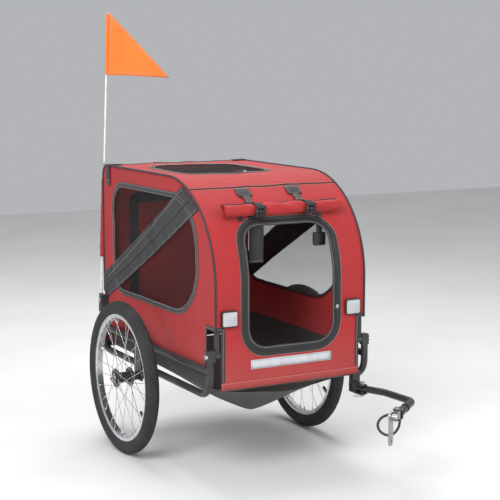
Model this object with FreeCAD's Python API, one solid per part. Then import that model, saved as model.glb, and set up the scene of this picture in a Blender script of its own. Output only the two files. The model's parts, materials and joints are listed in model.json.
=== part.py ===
import FreeCAD, Part
import math
import os

from FreeCAD import Vector

# Dog bike trailer. Millimetres, +X forward, +Y left, +Z up. The axle stands at x = 0 while the pieces are
# made, and the finished pieces are moved so that the origin is the middle of the footprint on the ground.

# Fits
GAP = 0.3               # soft or moving faces that lie against each other
RUNNING = 0.05          # radial clearance of a pin in its hole
OVERRUN = 5.0           # how far a cut runs past the piece

# Wheels
WHEEL_RADIUS = 250.0
WHEEL_STANDOFF = 81.0   # from the cabin's side to the middle of the wheel
TYRE_RADIUS = 22.0      # half the tyre's section
TYRE_WALL = 4.0
RIM_RADIUS = 208.0
RIM_DEPTH = 13.0
RIM_WIDTH = 24.0
RIM_WALL = 2.5
SPOKES_PER_SIDE = 14
SPOKE_RADIUS = 1.0
SPOKE_RIM_OFFSET = 4.0
SPOKE_STANDOFF = 1.9    # room between a leaning spoke and the hub flange
SPOKE_LEAD_STEPS = 2.5  # how many spoke pitches a spoke leans round the hub
HUB_LENGTH = 62.0
HUB_RADIUS = 17.0
FLANGE_RADIUS = 31.0
FLANGE_THICKNESS = 3.0
FLANGE_INSET = 5.0
SPOKE_CIRCLE_RADIUS = 26.0
HUB_BORE_RADIUS = 9.0
BEARING_RADIUS = 14.0
BEARING_WIDTH = 8.0
AXLE_RADIUS = 6.0
AXLE_COLLAR_RADIUS = 9.5
AXLE_CAP_RADIUS = 11.0
AXLE_CAP_LENGTH = 9.0
BUTTON_RADIUS = 3.5
BUTTON_DEPTH = 8.5
BUTTON_PROUD = 4.0
BUTTON_TRAVEL = 3.0

# Cabin cover
CABIN_HALF_WIDTH = 262.0
CABIN_FRONT = 500.0
CABIN_REAR = 335.0      # behind the axle
ROOF_HEIGHT = 920.0
FRONT_HEM_HEIGHT = 300.0
SIDE_HEM_DROP = 14.0    # how far the side hem hangs below the middle of the upper rail
FRONT_ROUND = 315.0
REAR_ROUND = 40.0
PANEL = 2.0
MESH = 1.0
SEAM_X = 325.0          # cross seam between the front panel and the roof
FRONT_SLIT_ROOM = 75.0  # height of the corner slits above the hoop hinges that stand in them
REAR_SLIT_ROOM = 30.0
SLIT_DEPTH = 60.0
FRONT_NOTCH = 20.0      # width that the front panel lacks beside the slits
DOOR_HALF_WIDTH = 157.0
DOOR_BOTTOM = 410.0
DOOR_TOP = 790.0
DOOR_CORNER = 70.0
WINDOW_REAR = -254.0
WINDOW_FRONT = 373.0
WINDOW_BOTTOM = 497.0
WINDOW_TOP = 862.0
WINDOW_REAR_CORNER = 80.0
WINDOW_FRONT_CORNER = 165.0
HATCH_REAR = -240.0
HATCH_FRONT = 100.0
HATCH_HALF_WIDTH = 165.0
HATCH_FRONT_CORNER = 50.0
HATCH_REAR_CORNER = 120.0
BAND_FRONT_HIGH = (286.0, 897.0)
BAND_FRONT_LOW = (393.0, 834.0)
BAND_REAR_HIGH = 543.0
BAND_REAR_LOW = 447.0
BAND_THICKNESS = 2.0
STRIP_HALF_LENGTH = 142.0
STRIP_BOTTOM = 355.0
STRIP_TOP = 383.0
STRIP_THICKNESS = 1.5
FLOOR_LAP = 35.0        # how far the floor sling laps up inside the side panels
FLOOR_SHOULDER_HEIGHT = 290.0
FLOOR_SHOULDER_INSET = 12.0
FLOOR_LOW_HEIGHT = 150.0
FLOOR_LOW_X = 230.0     # where the floor hangs lowest
FLOOR_FRONT_LOW = 262.0
FLOOR_REAR_LOW = 288.0

# Rolled-up door
ROLL_RADIUS = 21.0
ROLL_HALF_LENGTH = 205.0
ROLL_ANGLE = 41.5       # place on the front's round, in degrees above level
STRAP_WIDTH = 25.0
STRAP_THICKNESS = 1.5
STRAP_Y = 88.0
STRAP_TAB_END_ANGLE = 56.5
BUCKLE_LENGTH = 38.0
BUCKLE_WIDTH = 30.0
BUCKLE_THICKNESS = 9.0

# Reflectors on the front corners
REFLECTOR_WIDTH = 55.0
REFLECTOR_HEIGHT = 50.0
REFLECTOR_DEPTH = 10.0
REFLECTOR_CORNER = 20.0
REFLECTOR_Y = 217.0
REFLECTOR_Z = 516.0

# Folding hoops
HOOP_RADIUS = 9.0
HOOP_SLACK = 9.0        # how much tighter the front hoop is bent than the cover over it
EYE_RADIUS = 10.0       # the pressed eye at the foot of a hoop's leg
EYE_HALF_WIDTH = 8.0
HOOP_CORNER = 40.0
REAR_HOOP_CORNER = 60.0
FRONT_HOOP_ARC = 58.0   # degrees of the front's round that the hoop's legs follow
FRONT_STUB_RISE = 17.0  # from the upper rail to the knuckle on the stub
REAR_STUB_RISE = 62.0
JOGGLE_START = 75.0     # heights above the pivot between which a front leg steps inwards
JOGGLE_END = 140.0
JOGGLE_RADIUS = 60.0
HOOP_SIDE_STEP = 9.0    # room between the legs of the two hoops when one passes the other
BOLT_RADIUS = 4.0
BOLT_HEAD_RADIUS = 7.5
BOLT_HEAD_LENGTH = 5.0

# Base frame
RAIL_RADIUS = 11.0
RAIL_HEIGHT = 282.0
RAIL_CORNER = 60.0
RAIL_SPACING = 77.0     # from the lower rail up to the upper one
KNUCKLE_HALF_HEIGHT = 18.0
RECEIVER_RADIUS = 14.0
RECEIVER_PLATE_THICKNESS = 6.0
RECEIVER_PLATE_HALF_LENGTH = 28.0
RECEIVER_PLATE_MARGIN = 4.0

# Towing
TOW_DROP = 32.0         # the arm below the lower rail
TOW_PIN_AHEAD = 5.0     # of the front panel
TOW_PIN_INSET = 6.0     # from the cabin's side
TOW_TAIL = 20.0
TOW_RADIUS = 11.0
TOW_BEND_STEPS = ((75.0, 32.0), (211.0, 42.0))  # ahead of the pin and out from it
TOW_END_STEP = (295.0, -66.0)
TOW_BEND_RADIUS = 42.0
TOW_PIN_RADIUS = 5.0
TOW_PIN_HEAD_RADIUS = 9.0
TOW_PIN_HEAD = 5.0
TOW_PIN_TAIL = 12.0
BRACKET_THICKNESS = 4.5
BRACKET_HALF_WIDTH = 20.0
BRACKET_NOSE = 18.0
BRACKET_BACK = 47.0     # from the pin back to the web
BRACKET_WEB = 6.0
CLIP_WIRE = 1.3
CLIP_TAIL = 24.0

# Hitch
CLEVIS_BASE = 8.0
CLEVIS_PLATE = 4.0
CLEVIS_REACH = 38.0
CLEVIS_HALF_WIDTH = 12.0
SWIVEL_OFFSET = 26.0    # from the end of the arm to the upright pin
SWIVEL_RADIUS = 10.0
SWIVEL_HALF_HEIGHT = 12.0
HITCH_PIN_RADIUS = 4.0
HITCH_PIN_HEAD_RADIUS = 7.0
HITCH_PIN_HEAD = 3.0
LUG_REACH = 30.0        # from the upright pin to the level pin
LUG_HALF_WIDTH = 6.0
LUG_RADIUS = 9.0
PLATE_THICKNESS = 6.0
PLATE_WIDTH = 30.0
PLATE_DROP = 72.0       # from the level pin to the axle hole
AXLE_HOLE_RADIUS = 5.2

# Safety cord: hand-chosen points beside the arm's last run, (along the run back from its end, down)
CORD_RADIUS = 4.0
CORD_ARC_SHARE = 0.45   # of the shorter run beside a bend
CORD_ROUTE = (          # behind the arm's end, out to its side, and down
    (14.0, 16.0, 10.0), (13.0, 40.0, 13.0), (16.0, 66.0, 30.0), (24.0, 77.0, 57.0), (35.0, 63.0, 82.0),
    (47.0, 38.0, 88.0), (57.0, 19.0, 66.0), (60.0, 16.0, 38.0), (60.0, 16.0, 10.0))

# Flag
POLE_RADIUS = 4.0
POLE_TOP_RADIUS = 3.0
POLE_BACK = 10.0        # how far the pole stands behind the rear panel
POLE_LOWER_LENGTH = 488.0
POLE_UPPER_LENGTH = 534.0
POLE_LEAN = 2.3         # degrees towards the middle of the trailer
FERRULE_RADIUS = 5.5
FERRULE_HALF_LENGTH = 25.0
SOCKET_RADIUS = 7.5
SOCKET_FLOOR = 6.0
SOCKET_RISE = 53.0      # from the upper rail to the pole's foot
SOCKET_DEPTH = 58.0
SOCKET_CLIP_HEIGHT = 22.0
SOCKET_CLIP_HALF_WIDTH = 5.0
PENNANT_HEIGHT = 210.0
PENNANT_LENGTH = 220.0
PENNANT_THICKNESS = 1.2
PENNANT_HEADING = 62.0  # degrees from forward towards the left

# Places that follow from the sizes above
AXLE_HEIGHT = WHEEL_RADIUS
UPPER_RAIL_HEIGHT = RAIL_HEIGHT + RAIL_SPACING
TOW_HEIGHT = RAIL_HEIGHT - TOW_DROP
TOW_PIN_X = CABIN_FRONT + TOW_PIN_AHEAD
TOW_PIN_Y = CABIN_HALF_WIDTH - TOW_PIN_INSET
TOW_BENDS = [(TOW_PIN_X + ahead, TOW_PIN_Y + out) for ahead, out in TOW_BEND_STEPS]
TOW_END = (TOW_PIN_X + TOW_END_STEP[0], TOW_PIN_Y + TOW_END_STEP[1])
BRACKET_REAR_X = TOW_PIN_X - BRACKET_BACK
POLE_BOTTOM = UPPER_RAIL_HEIGHT + SOCKET_RISE
SOCKET_TOP = POLE_BOTTOM + SOCKET_DEPTH
POLE_JOINT = POLE_BOTTOM + POLE_LOWER_LENGTH
POLE_TOP = POLE_JOINT + POLE_UPPER_LENGTH
SIDE_HEM_HEIGHT = UPPER_RAIL_HEIGHT - SIDE_HEM_DROP
FLOOR_EDGE_HEIGHT = SIDE_HEM_HEIGHT + FLOOR_LAP
KNUCKLE_BASE = UPPER_RAIL_HEIGHT + RAIL_RADIUS + KNUCKLE_HALF_HEIGHT
FRONT_PIVOT_HEIGHT = KNUCKLE_BASE + FRONT_STUB_RISE
REAR_PIVOT_HEIGHT = KNUCKLE_BASE + REAR_STUB_RISE
SIDES = {"left": 1.0, "right": -1.0}
X_AXIS = Vector(1, 0, 0)
Y_AXIS = Vector(0, 1, 0)
Z_AXIS = Vector(0, 0, 1)
ROUND_X = CABIN_FRONT - FRONT_ROUND
ROUND_Z = ROOF_HEIGHT - FRONT_ROUND
HOOP_INSET = PANEL + GAP + EYE_RADIUS
FRONT_LEG_X = CABIN_FRONT - HOOP_INSET
REAR_LEG_X = -CABIN_REAR + HOOP_INSET
REAR_HOOP_Y = CABIN_HALF_WIDTH - PANEL - GAP - HOOP_RADIUS
FRONT_HOOP_Y = REAR_HOOP_Y - 2 * HOOP_RADIUS - HOOP_SIDE_STEP
REAR_BAR_HEIGHT = ROOF_HEIGHT - REAR_ROUND
RAIL_Y = CABIN_HALF_WIDTH + GAP + RAIL_RADIUS
INNER_HALF_WIDTH = CABIN_HALF_WIDTH - PANEL
WHEEL_Y = CABIN_HALF_WIDTH + WHEEL_STANDOFF
HUB_INNER_Y = WHEEL_Y - HUB_LENGTH / 2
HUB_OUTER_Y = WHEEL_Y + HUB_LENGTH / 2
POLE_X = -CABIN_REAR - POLE_BACK
FRONT_FOOT_Y = REAR_HOOP_Y
FRONT_PIVOT = (FRONT_LEG_X, FRONT_PIVOT_HEIGHT, FRONT_FOOT_Y)
REAR_PIVOT = (REAR_LEG_X, REAR_PIVOT_HEIGHT, REAR_HOOP_Y)


def box(low, high):
    """A block between two corners given in any order."""
    low_corner = Vector(*(min(a, b) for a, b in zip(low, high)))
    high_corner = Vector(*(max(a, b) for a, b in zip(low, high)))
    size = high_corner - low_corner
    return Part.makeBox(size.x, size.y, size.z, low_corner)


def rod(radius, start, end):
    """A round bar from one point to another."""
    start = Vector(*start)
    span = Vector(*end) - start
    return Part.makeCylinder(radius, span.Length, start, span)


def mirrored(shape):
    """The same shape on the other side of the trailer."""
    return shape.mirror(Vector(0, 0, 0), Y_AXIS)


def fused(shapes):
    """One solid from pieces that meet."""
    whole = shapes[0].multiFuse(shapes[1:])
    return whole.removeSplitter()


def polygon(points):
    """A flat face from corner points."""
    return Part.Face(Part.makePolygon(list(points) + [points[0]]))


def arc(centre, radius, axis_a, axis_b, start, end):
    """An arc edge about a centre, its angles in degrees from axis_a towards axis_b."""
    def at(angle):
        turn = math.radians(angle)
        return centre + axis_a * (radius * math.cos(turn)) + axis_b * (radius * math.sin(turn))
    return Part.Arc(at(start), at((start + end) / 2), at(end)).toShape()


def line(start, end):
    return Part.LineSegment(start, end).toShape()


def tube_along(edges, radius):
    """A round bar swept along edges that run on smoothly."""
    path = Part.Wire(edges)
    first = edges[0]
    start = first.valueAt(first.FirstParameter)
    heading = first.tangentAt(first.FirstParameter)
    section = Part.Wire(Part.makeCircle(radius, start, heading))
    return path.makePipeShell([section], True, False)


def rounded_route(points, radii):
    """Straight runs through points, with a tangent arc at each inner point."""
    edges = []
    start = points[0]
    for before, corner, after, radius in zip(points, points[1:], points[2:], radii):
        back = (before - corner).normalize()
        ahead = (after - corner).normalize()
        half_angle = back.getAngle(ahead) / 2
        reach = radius / math.tan(half_angle)
        middle = (back + ahead).normalize() * (radius / math.sin(half_angle) - radius)
        arc_start = corner + back * reach
        arc_end = corner + ahead * reach
        edges.append(line(start, arc_start))
        edges.append(Part.Arc(arc_start, corner + middle, arc_end).toShape())
        start = arc_end
    edges.append(line(start, points[-1]))
    return edges


def rounded_panel(low, high, corners, across, along, up, thickness):
    """A flat panel with rounded corners: corner radii run low-low, high-low, high-high, low-high."""
    def place(a, b):
        return along * a + up * b
    (a0, b0), (a1, b1) = low, high
    ll, hl, hh, lh = corners
    edges = [
        line(place(a0 + ll, b0), place(a1 - hl, b0)),
        arc(place(a1 - hl, b0 + hl), hl, along, up, -90, 0),
        line(place(a1, b0 + hl), place(a1, b1 - hh)),
        arc(place(a1 - hh, b1 - hh), hh, along, up, 0, 90),
        line(place(a1 - hh, b1), place(a0 + lh, b1)),
        arc(place(a0 + lh, b1 - lh), lh, along, up, 90, 180),
        line(place(a0, b1 - lh), place(a0, b0 + ll)),
        arc(place(a0 + ll, b0 + ll), ll, along, up, 180, 270),
    ]
    return Part.Face(Part.Wire(edges)).extrude(across * thickness)


def turned(points, wheel_y):
    """A ring turned about the axle from (radius, offset along the axle) points."""
    face = polygon([Vector(0, wheel_y + offset, AXLE_HEIGHT + radius) for radius, offset in points])
    return face.revolve(Vector(0, 0, AXLE_HEIGHT), Y_AXIS, 360)


def tyre(wheel_y):
    section_radius = WHEEL_RADIUS - TYRE_RADIUS
    outer = Part.makeTorus(section_radius, TYRE_RADIUS, Vector(0, wheel_y, AXLE_HEIGHT), Y_AXIS)
    inner_centre = section_radius - TYRE_WALL
    inner = Part.makeTorus(inner_centre, TYRE_RADIUS - TYRE_WALL, Vector(0, wheel_y, AXLE_HEIGHT), Y_AXIS)
    half_width = TYRE_RADIUS + OVERRUN
    start = Vector(0, wheel_y - half_width, AXLE_HEIGHT)
    rim_room = Part.makeCylinder(RIM_RADIUS, 2 * half_width, start, Y_AXIS)
    return outer.cut(inner).cut(rim_room)


def rim(wheel_y):
    half = RIM_WIDTH / 2
    bottom = RIM_RADIUS - RIM_DEPTH
    points = [
        (RIM_RADIUS, -half), (RIM_RADIUS, half), (bottom + RIM_WALL, half), (bottom, half - RIM_WALL),
        (bottom, RIM_WALL - half), (bottom + RIM_WALL, -half),
    ]
    well = [
        (RIM_RADIUS + OVERRUN, RIM_WALL - half), (RIM_RADIUS + OVERRUN, half - RIM_WALL),
        (bottom + RIM_WALL, half - 2 * RIM_WALL), (bottom + RIM_WALL, 2 * RIM_WALL - half),
    ]
    return turned(points, wheel_y).cut(turned(well, wheel_y))


def spokes(wheel_y):
    pitch = 360.0 / SPOKES_PER_SIDE
    flange_y = HUB_LENGTH / 2 - FLANGE_INSET - FLANGE_THICKNESS / 2
    face_offset = FLANGE_THICKNESS / 2 + SPOKE_RADIUS + SPOKE_STANDOFF
    rim_end = RIM_RADIUS - RIM_DEPTH
    bars = []
    for side in (-1, 1):
        for index in range(SPOKES_PER_SIDE):
            lean = 1 if index % 2 else -1
            rim_turn = math.radians(pitch * (index + side / 4))
            hub_turn = rim_turn + lean * math.radians(pitch * SPOKE_LEAD_STEPS)
            hub_y = wheel_y + side * flange_y + lean * face_offset
            start = (SPOKE_CIRCLE_RADIUS * math.sin(hub_turn), hub_y,
                     AXLE_HEIGHT + SPOKE_CIRCLE_RADIUS * math.cos(hub_turn))
            end = (rim_end * math.sin(rim_turn), wheel_y + side * SPOKE_RIM_OFFSET,
                   AXLE_HEIGHT + rim_end * math.cos(rim_turn))
            bars.append(rod(SPOKE_RADIUS, start, end))
    return Part.makeCompound(bars)


def hub(wheel_y):
    half = HUB_LENGTH / 2
    outer_flange = half - FLANGE_INSET
    inner_flange = outer_flange - FLANGE_THICKNESS
    seat = half - BEARING_WIDTH
    points = [
        (BEARING_RADIUS, -half), (HUB_RADIUS, -half), (HUB_RADIUS, -outer_flange), (FLANGE_RADIUS, -outer_flange),
        (FLANGE_RADIUS, -inner_flange), (HUB_RADIUS, -inner_flange), (HUB_RADIUS, inner_flange),
        (FLANGE_RADIUS, inner_flange), (FLANGE_RADIUS, outer_flange), (HUB_RADIUS, outer_flange),
        (HUB_RADIUS, half), (BEARING_RADIUS, half), (BEARING_RADIUS, seat), (HUB_BORE_RADIUS, seat),
        (HUB_BORE_RADIUS, -seat), (BEARING_RADIUS, -seat),
    ]
    return turned(points, wheel_y)


def bearings(wheel_y):
    half = HUB_LENGTH / 2
    bore = AXLE_RADIUS + RUNNING
    rings = []
    for end in (-half, half - BEARING_WIDTH):
        points = [(bore, end), (BEARING_RADIUS, end), (BEARING_RADIUS, end + BEARING_WIDTH),
                  (bore, end + BEARING_WIDTH)]
        rings.append(turned(points, wheel_y))
    return Part.makeCompound(rings)


def axle_rod(radius, start_y, end_y):
    return rod(radius, (0, start_y, AXLE_HEIGHT), (0, end_y, AXLE_HEIGHT))


def receiver_end():
    """Where the receiver's tube ends and the axle's collar starts."""
    return HUB_INNER_Y - GAP - FLANGE_INSET


def axle():
    cap_start = HUB_OUTER_Y + GAP
    cap_end = cap_start + AXLE_CAP_LENGTH
    shaft = axle_rod(AXLE_RADIUS, RAIL_Y - RAIL_RADIUS, cap_start)
    collar = axle_rod(AXLE_COLLAR_RADIUS, receiver_end(), HUB_INNER_Y - GAP)
    cap = axle_rod(AXLE_CAP_RADIUS, cap_start, cap_end)
    button_hole = axle_rod(BUTTON_RADIUS, cap_end - BUTTON_DEPTH, cap_end + OVERRUN)
    return fused([shaft, collar, cap]).cut(button_hole)


def quick_release_button():
    cap_end = HUB_OUTER_Y + GAP + AXLE_CAP_LENGTH
    start = cap_end - BUTTON_DEPTH + BUTTON_TRAVEL + GAP
    return axle_rod(BUTTON_RADIUS - RUNNING, start, cap_end + BUTTON_PROUD)


def axle_receiver():
    tube = axle_rod(RECEIVER_RADIUS, RAIL_Y - RAIL_RADIUS, receiver_end())
    plate_inner = RAIL_Y + RAIL_RADIUS
    low = (-RECEIVER_PLATE_HALF_LENGTH, plate_inner, AXLE_HEIGHT - RECEIVER_RADIUS)
    high = (RECEIVER_PLATE_HALF_LENGTH, plate_inner + RECEIVER_PLATE_THICKNESS,
            UPPER_RAIL_HEIGHT + RAIL_RADIUS + RECEIVER_PLATE_MARGIN)
    bore = axle_rod(AXLE_RADIUS, RAIL_Y - RAIL_RADIUS - OVERRUN, receiver_end() + OVERRUN)
    return fused([tube, box(low, high)]).cut(bore)


def outline(inset, bottom):
    """The cabin's side outline, moved inwards by inset, as a face at y = 0."""
    front = CABIN_FRONT - inset
    rear = -CABIN_REAR + inset
    top = ROOF_HEIGHT - inset
    rear_x = -CABIN_REAR + REAR_ROUND
    rear_z = ROOF_HEIGHT - REAR_ROUND
    edges = [
        line(Vector(rear, 0, bottom), Vector(rear, 0, rear_z)),
        arc(Vector(rear_x, 0, rear_z), REAR_ROUND - inset, X_AXIS, Z_AXIS, 180, 90),
        line(Vector(rear_x, 0, top), Vector(ROUND_X, 0, top)),
        arc(Vector(ROUND_X, 0, ROUND_Z), FRONT_ROUND - inset, X_AXIS, Z_AXIS, 90, 0),
        line(Vector(front, 0, ROUND_Z), Vector(front, 0, bottom)),
        line(Vector(front, 0, bottom), Vector(rear, 0, bottom)),
    ]
    return Part.Face(Part.Wire(edges))


def cabin_skin():
    """The strip of cloth that runs up the front, over the roof and down the rear."""
    across = Y_AXIS * (2 * INNER_HALF_WIDTH)
    start = Vector(0, -INNER_HALF_WIDTH, 0)
    outer = outline(0, FRONT_HEM_HEIGHT)
    inner = outline(PANEL, FRONT_HEM_HEIGHT - OVERRUN)
    outer.translate(start)
    inner.translate(start)
    return outer.extrude(across).cut(inner.extrude(across))


def door_opening(depth_start):
    low = (-DOOR_HALF_WIDTH, DOOR_BOTTOM)
    high = (DOOR_HALF_WIDTH, DOOR_TOP)
    top_corner = DOOR_CORNER / 2
    corners = (DOOR_CORNER, DOOR_CORNER, top_corner, top_corner)
    cutter = rounded_panel(low, high, corners, X_AXIS, Y_AXIS, Z_AXIS, CABIN_FRONT)
    cutter.translate(Vector(depth_start, 0, 0))
    return cutter


def skin_piece(skin, start_x, end_x, bottom):
    low = (start_x, -CABIN_HALF_WIDTH, bottom)
    high = (end_x, CABIN_HALF_WIDTH, ROOF_HEIGHT + OVERRUN)
    return skin.common(box(low, high))


def cover_front(skin):
    front = skin_piece(skin, SEAM_X, CABIN_FRONT + OVERRUN, FRONT_HEM_HEIGHT)
    low = (CABIN_FRONT - PANEL - OVERRUN, CABIN_HALF_WIDTH - FRONT_NOTCH, FRONT_HEM_HEIGHT - OVERRUN)
    high = (CABIN_FRONT + OVERRUN, CABIN_HALF_WIDTH + OVERRUN, FRONT_PIVOT_HEIGHT + FRONT_SLIT_ROOM)
    notch = box(low, high)
    return front.cut(door_opening(ROUND_X)).cut(notch).cut(mirrored(notch))


def hatch(thickness, base):
    corners = (HATCH_REAR_CORNER, HATCH_FRONT_CORNER, HATCH_FRONT_CORNER, HATCH_REAR_CORNER)
    panel = rounded_panel((HATCH_REAR, -HATCH_HALF_WIDTH), (HATCH_FRONT, HATCH_HALF_WIDTH), corners,
                          Z_AXIS, X_AXIS, Y_AXIS, thickness)
    panel.translate(Vector(0, 0, base))
    return panel


def cover_roof(skin):
    roof = skin_piece(skin, REAR_ROUND - CABIN_REAR, SEAM_X, ROUND_Z)
    return roof.cut(hatch(2 * (PANEL + OVERRUN), ROOF_HEIGHT - PANEL - OVERRUN))


def cover_rear(skin):
    return skin_piece(skin, -CABIN_REAR - OVERRUN, REAR_ROUND - CABIN_REAR, FRONT_HEM_HEIGHT)


def window(thickness, inner_y):
    corners = (WINDOW_REAR_CORNER, WINDOW_FRONT_CORNER, WINDOW_FRONT_CORNER, WINDOW_REAR_CORNER)
    panel = rounded_panel((WINDOW_REAR, WINDOW_BOTTOM), (WINDOW_FRONT, WINDOW_TOP), corners,
                          Y_AXIS, X_AXIS, Z_AXIS, thickness)
    panel.translate(Vector(0, inner_y, 0))
    return panel


def corner_slit(inner_x, outer_x, top):
    low = (inner_x, INNER_HALF_WIDTH - OVERRUN, SIDE_HEM_HEIGHT - OVERRUN)
    return box(low, (outer_x, CABIN_HALF_WIDTH + BAND_THICKNESS + OVERRUN, top))


def front_slit():
    return corner_slit(CABIN_FRONT - SLIT_DEPTH, CABIN_FRONT + OVERRUN, FRONT_PIVOT_HEIGHT + FRONT_SLIT_ROOM)


def rear_slit():
    top = REAR_PIVOT_HEIGHT + REAR_SLIT_ROOM
    return corner_slit(-CABIN_REAR - OVERRUN, SLIT_DEPTH / 2 - CABIN_REAR, top)


def cover_side():
    face = outline(0, SIDE_HEM_HEIGHT)
    face.translate(Vector(0, INNER_HALF_WIDTH, 0))
    panel = face.extrude(Y_AXIS * PANEL)
    opening = window(PANEL + 2 * OVERRUN, INNER_HALF_WIDTH - OVERRUN)
    return panel.cut(opening).cut(front_slit()).cut(rear_slit())


def side_band():
    y = CABIN_HALF_WIDTH
    corners = [
        Vector(BAND_FRONT_HIGH[0], y, BAND_FRONT_HIGH[1]), Vector(BAND_FRONT_LOW[0], y, BAND_FRONT_LOW[1]),
        Vector(-CABIN_REAR, y, BAND_REAR_LOW), Vector(-CABIN_REAR, y, BAND_REAR_HIGH),
    ]
    return polygon(corners).extrude(Y_AXIS * BAND_THICKNESS).cut(rear_slit())


def floor_section(x, low_height):
    """The floor cut across: up the side panels, in at the shoulders and down to its low line."""
    edge = INNER_HALF_WIDTH
    shoulder = edge - FLOOR_SHOULDER_INSET
    outer = [(edge, FLOOR_EDGE_HEIGHT), (edge, FLOOR_SHOULDER_HEIGHT + FLOOR_SHOULDER_INSET),
             (shoulder, FLOOR_SHOULDER_HEIGHT), (0, low_height)]
    inner = [(y - PANEL if y else y, z + (0 if z == FLOOR_EDGE_HEIGHT else PANEL)) for y, z in outer]
    right_outer = [(-y, z) for y, z in reversed(outer[:-1])]
    right_inner = [(-y, z) for y, z in inner[:-1]]
    loop = outer + right_outer + right_inner + list(reversed(inner))
    corners = [Vector(x, y, z) for y, z in loop]
    return Part.makePolygon(corners + corners[:1])


def floor_sling():
    """A cloth hammock hung between the side panels and the cross bars, lowest towards its middle."""
    start_x = corner_mid(REAR_LEG_X, 1)[0] + RAIL_RADIUS + GAP
    end_x = corner_mid(FRONT_LEG_X, -1)[0] - RAIL_RADIUS - GAP
    sections = [floor_section(start_x, FLOOR_REAR_LOW), floor_section(FLOOR_LOW_X, FLOOR_LOW_HEIGHT),
                floor_section(end_x, FLOOR_FRONT_LOW)]
    return Part.makeLoft(sections, True, True)


def reflective_strip():
    low = (CABIN_FRONT, -STRIP_HALF_LENGTH, STRIP_BOTTOM)
    return box(low, (CABIN_FRONT + STRIP_THICKNESS, STRIP_HALF_LENGTH, STRIP_TOP))


def reflector():
    half_width = REFLECTOR_WIDTH / 2
    half_height = REFLECTOR_HEIGHT / 2
    low = (REFLECTOR_Y - half_width, REFLECTOR_Z - half_height)
    high = (REFLECTOR_Y + half_width, REFLECTOR_Z + half_height)
    plate = rounded_panel(low, high, (REFLECTOR_CORNER,) * 4, X_AXIS, Y_AXIS, Z_AXIS, REFLECTOR_DEPTH)
    plate.translate(Vector(CABIN_FRONT + GAP, 0, 0))
    return plate


def on_round(radius, angle):
    """A point (x, z) about the centre of the front's round."""
    turn = math.radians(angle)
    return ROUND_X + radius * math.cos(turn), ROUND_Z + radius * math.sin(turn)


def roll_centre():
    return on_round(FRONT_ROUND + STRAP_THICKNESS + 2 * GAP + ROLL_RADIUS, ROLL_ANGLE)


def rolled_door():
    x, z = roll_centre()
    return rod(ROLL_RADIUS, (x, -ROLL_HALF_LENGTH, z), (x, ROLL_HALF_LENGTH, z))


def door_strap(middle_y):
    x, z = roll_centre()
    start_y = middle_y - STRAP_WIDTH / 2
    end_y = middle_y + STRAP_WIDTH / 2
    ring = rod(ROLL_RADIUS + STRAP_THICKNESS, (x, start_y, z), (x, end_y, z))
    ring = ring.cut(rod(ROLL_RADIUS, (x, start_y - OVERRUN, z), (x, end_y + OVERRUN, z)))
    tab_inner = FRONT_ROUND + GAP
    tab_outer = tab_inner + STRAP_THICKNESS
    centre = Vector(ROUND_X, start_y, ROUND_Z)
    corners = [Vector(x, start_y, z) for x, z in (
        on_round(tab_inner, ROLL_ANGLE), on_round(tab_outer, ROLL_ANGLE),
        on_round(tab_outer, STRAP_TAB_END_ANGLE), on_round(tab_inner, STRAP_TAB_END_ANGLE))]
    edges = [
        line(corners[0], corners[1]),
        arc(centre, tab_outer, X_AXIS, Z_AXIS, ROLL_ANGLE, STRAP_TAB_END_ANGLE),
        line(corners[2], corners[3]),
        arc(centre, tab_inner, X_AXIS, Z_AXIS, STRAP_TAB_END_ANGLE, ROLL_ANGLE),
    ]
    tab = Part.Face(Part.Wire(edges)).extrude(Y_AXIS * STRAP_WIDTH)
    roll_room = rod(ROLL_RADIUS, (x, start_y - OVERRUN, z), (x, end_y + OVERRUN, z))
    return fused([ring, tab.cut(roll_room)])


def strap_buckle(middle_y):
    x, z = roll_centre()
    start_x = x + ROLL_RADIUS + STRAP_THICKNESS
    low = (start_x, middle_y - BUCKLE_WIDTH / 2, z - BUCKLE_LENGTH)
    return box(low, (start_x + BUCKLE_THICKNESS, middle_y + BUCKLE_WIDTH / 2, z))


def hoop_eye_hole(pivot_x, pivot_z, hoop_y):
    reach = hoop_y + HOOP_RADIUS + OVERRUN
    return rod(BOLT_RADIUS + RUNNING, (pivot_x, -reach, pivot_z), (pivot_x, reach, pivot_z))


def with_eyes(bar, pivot_x, pivot_z, hoop_y):
    """Round the ends of a hoop's legs off about the pivot and drill them."""
    eyes = []
    for side in SIDES.values():
        start = (pivot_x, side * hoop_y - EYE_HALF_WIDTH, pivot_z)
        eyes.append(rod(EYE_RADIUS, start, (pivot_x, side * hoop_y + EYE_HALF_WIDTH, pivot_z)))
    return fused([bar] + eyes).cut(hoop_eye_hole(pivot_x, pivot_z, hoop_y))


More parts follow.
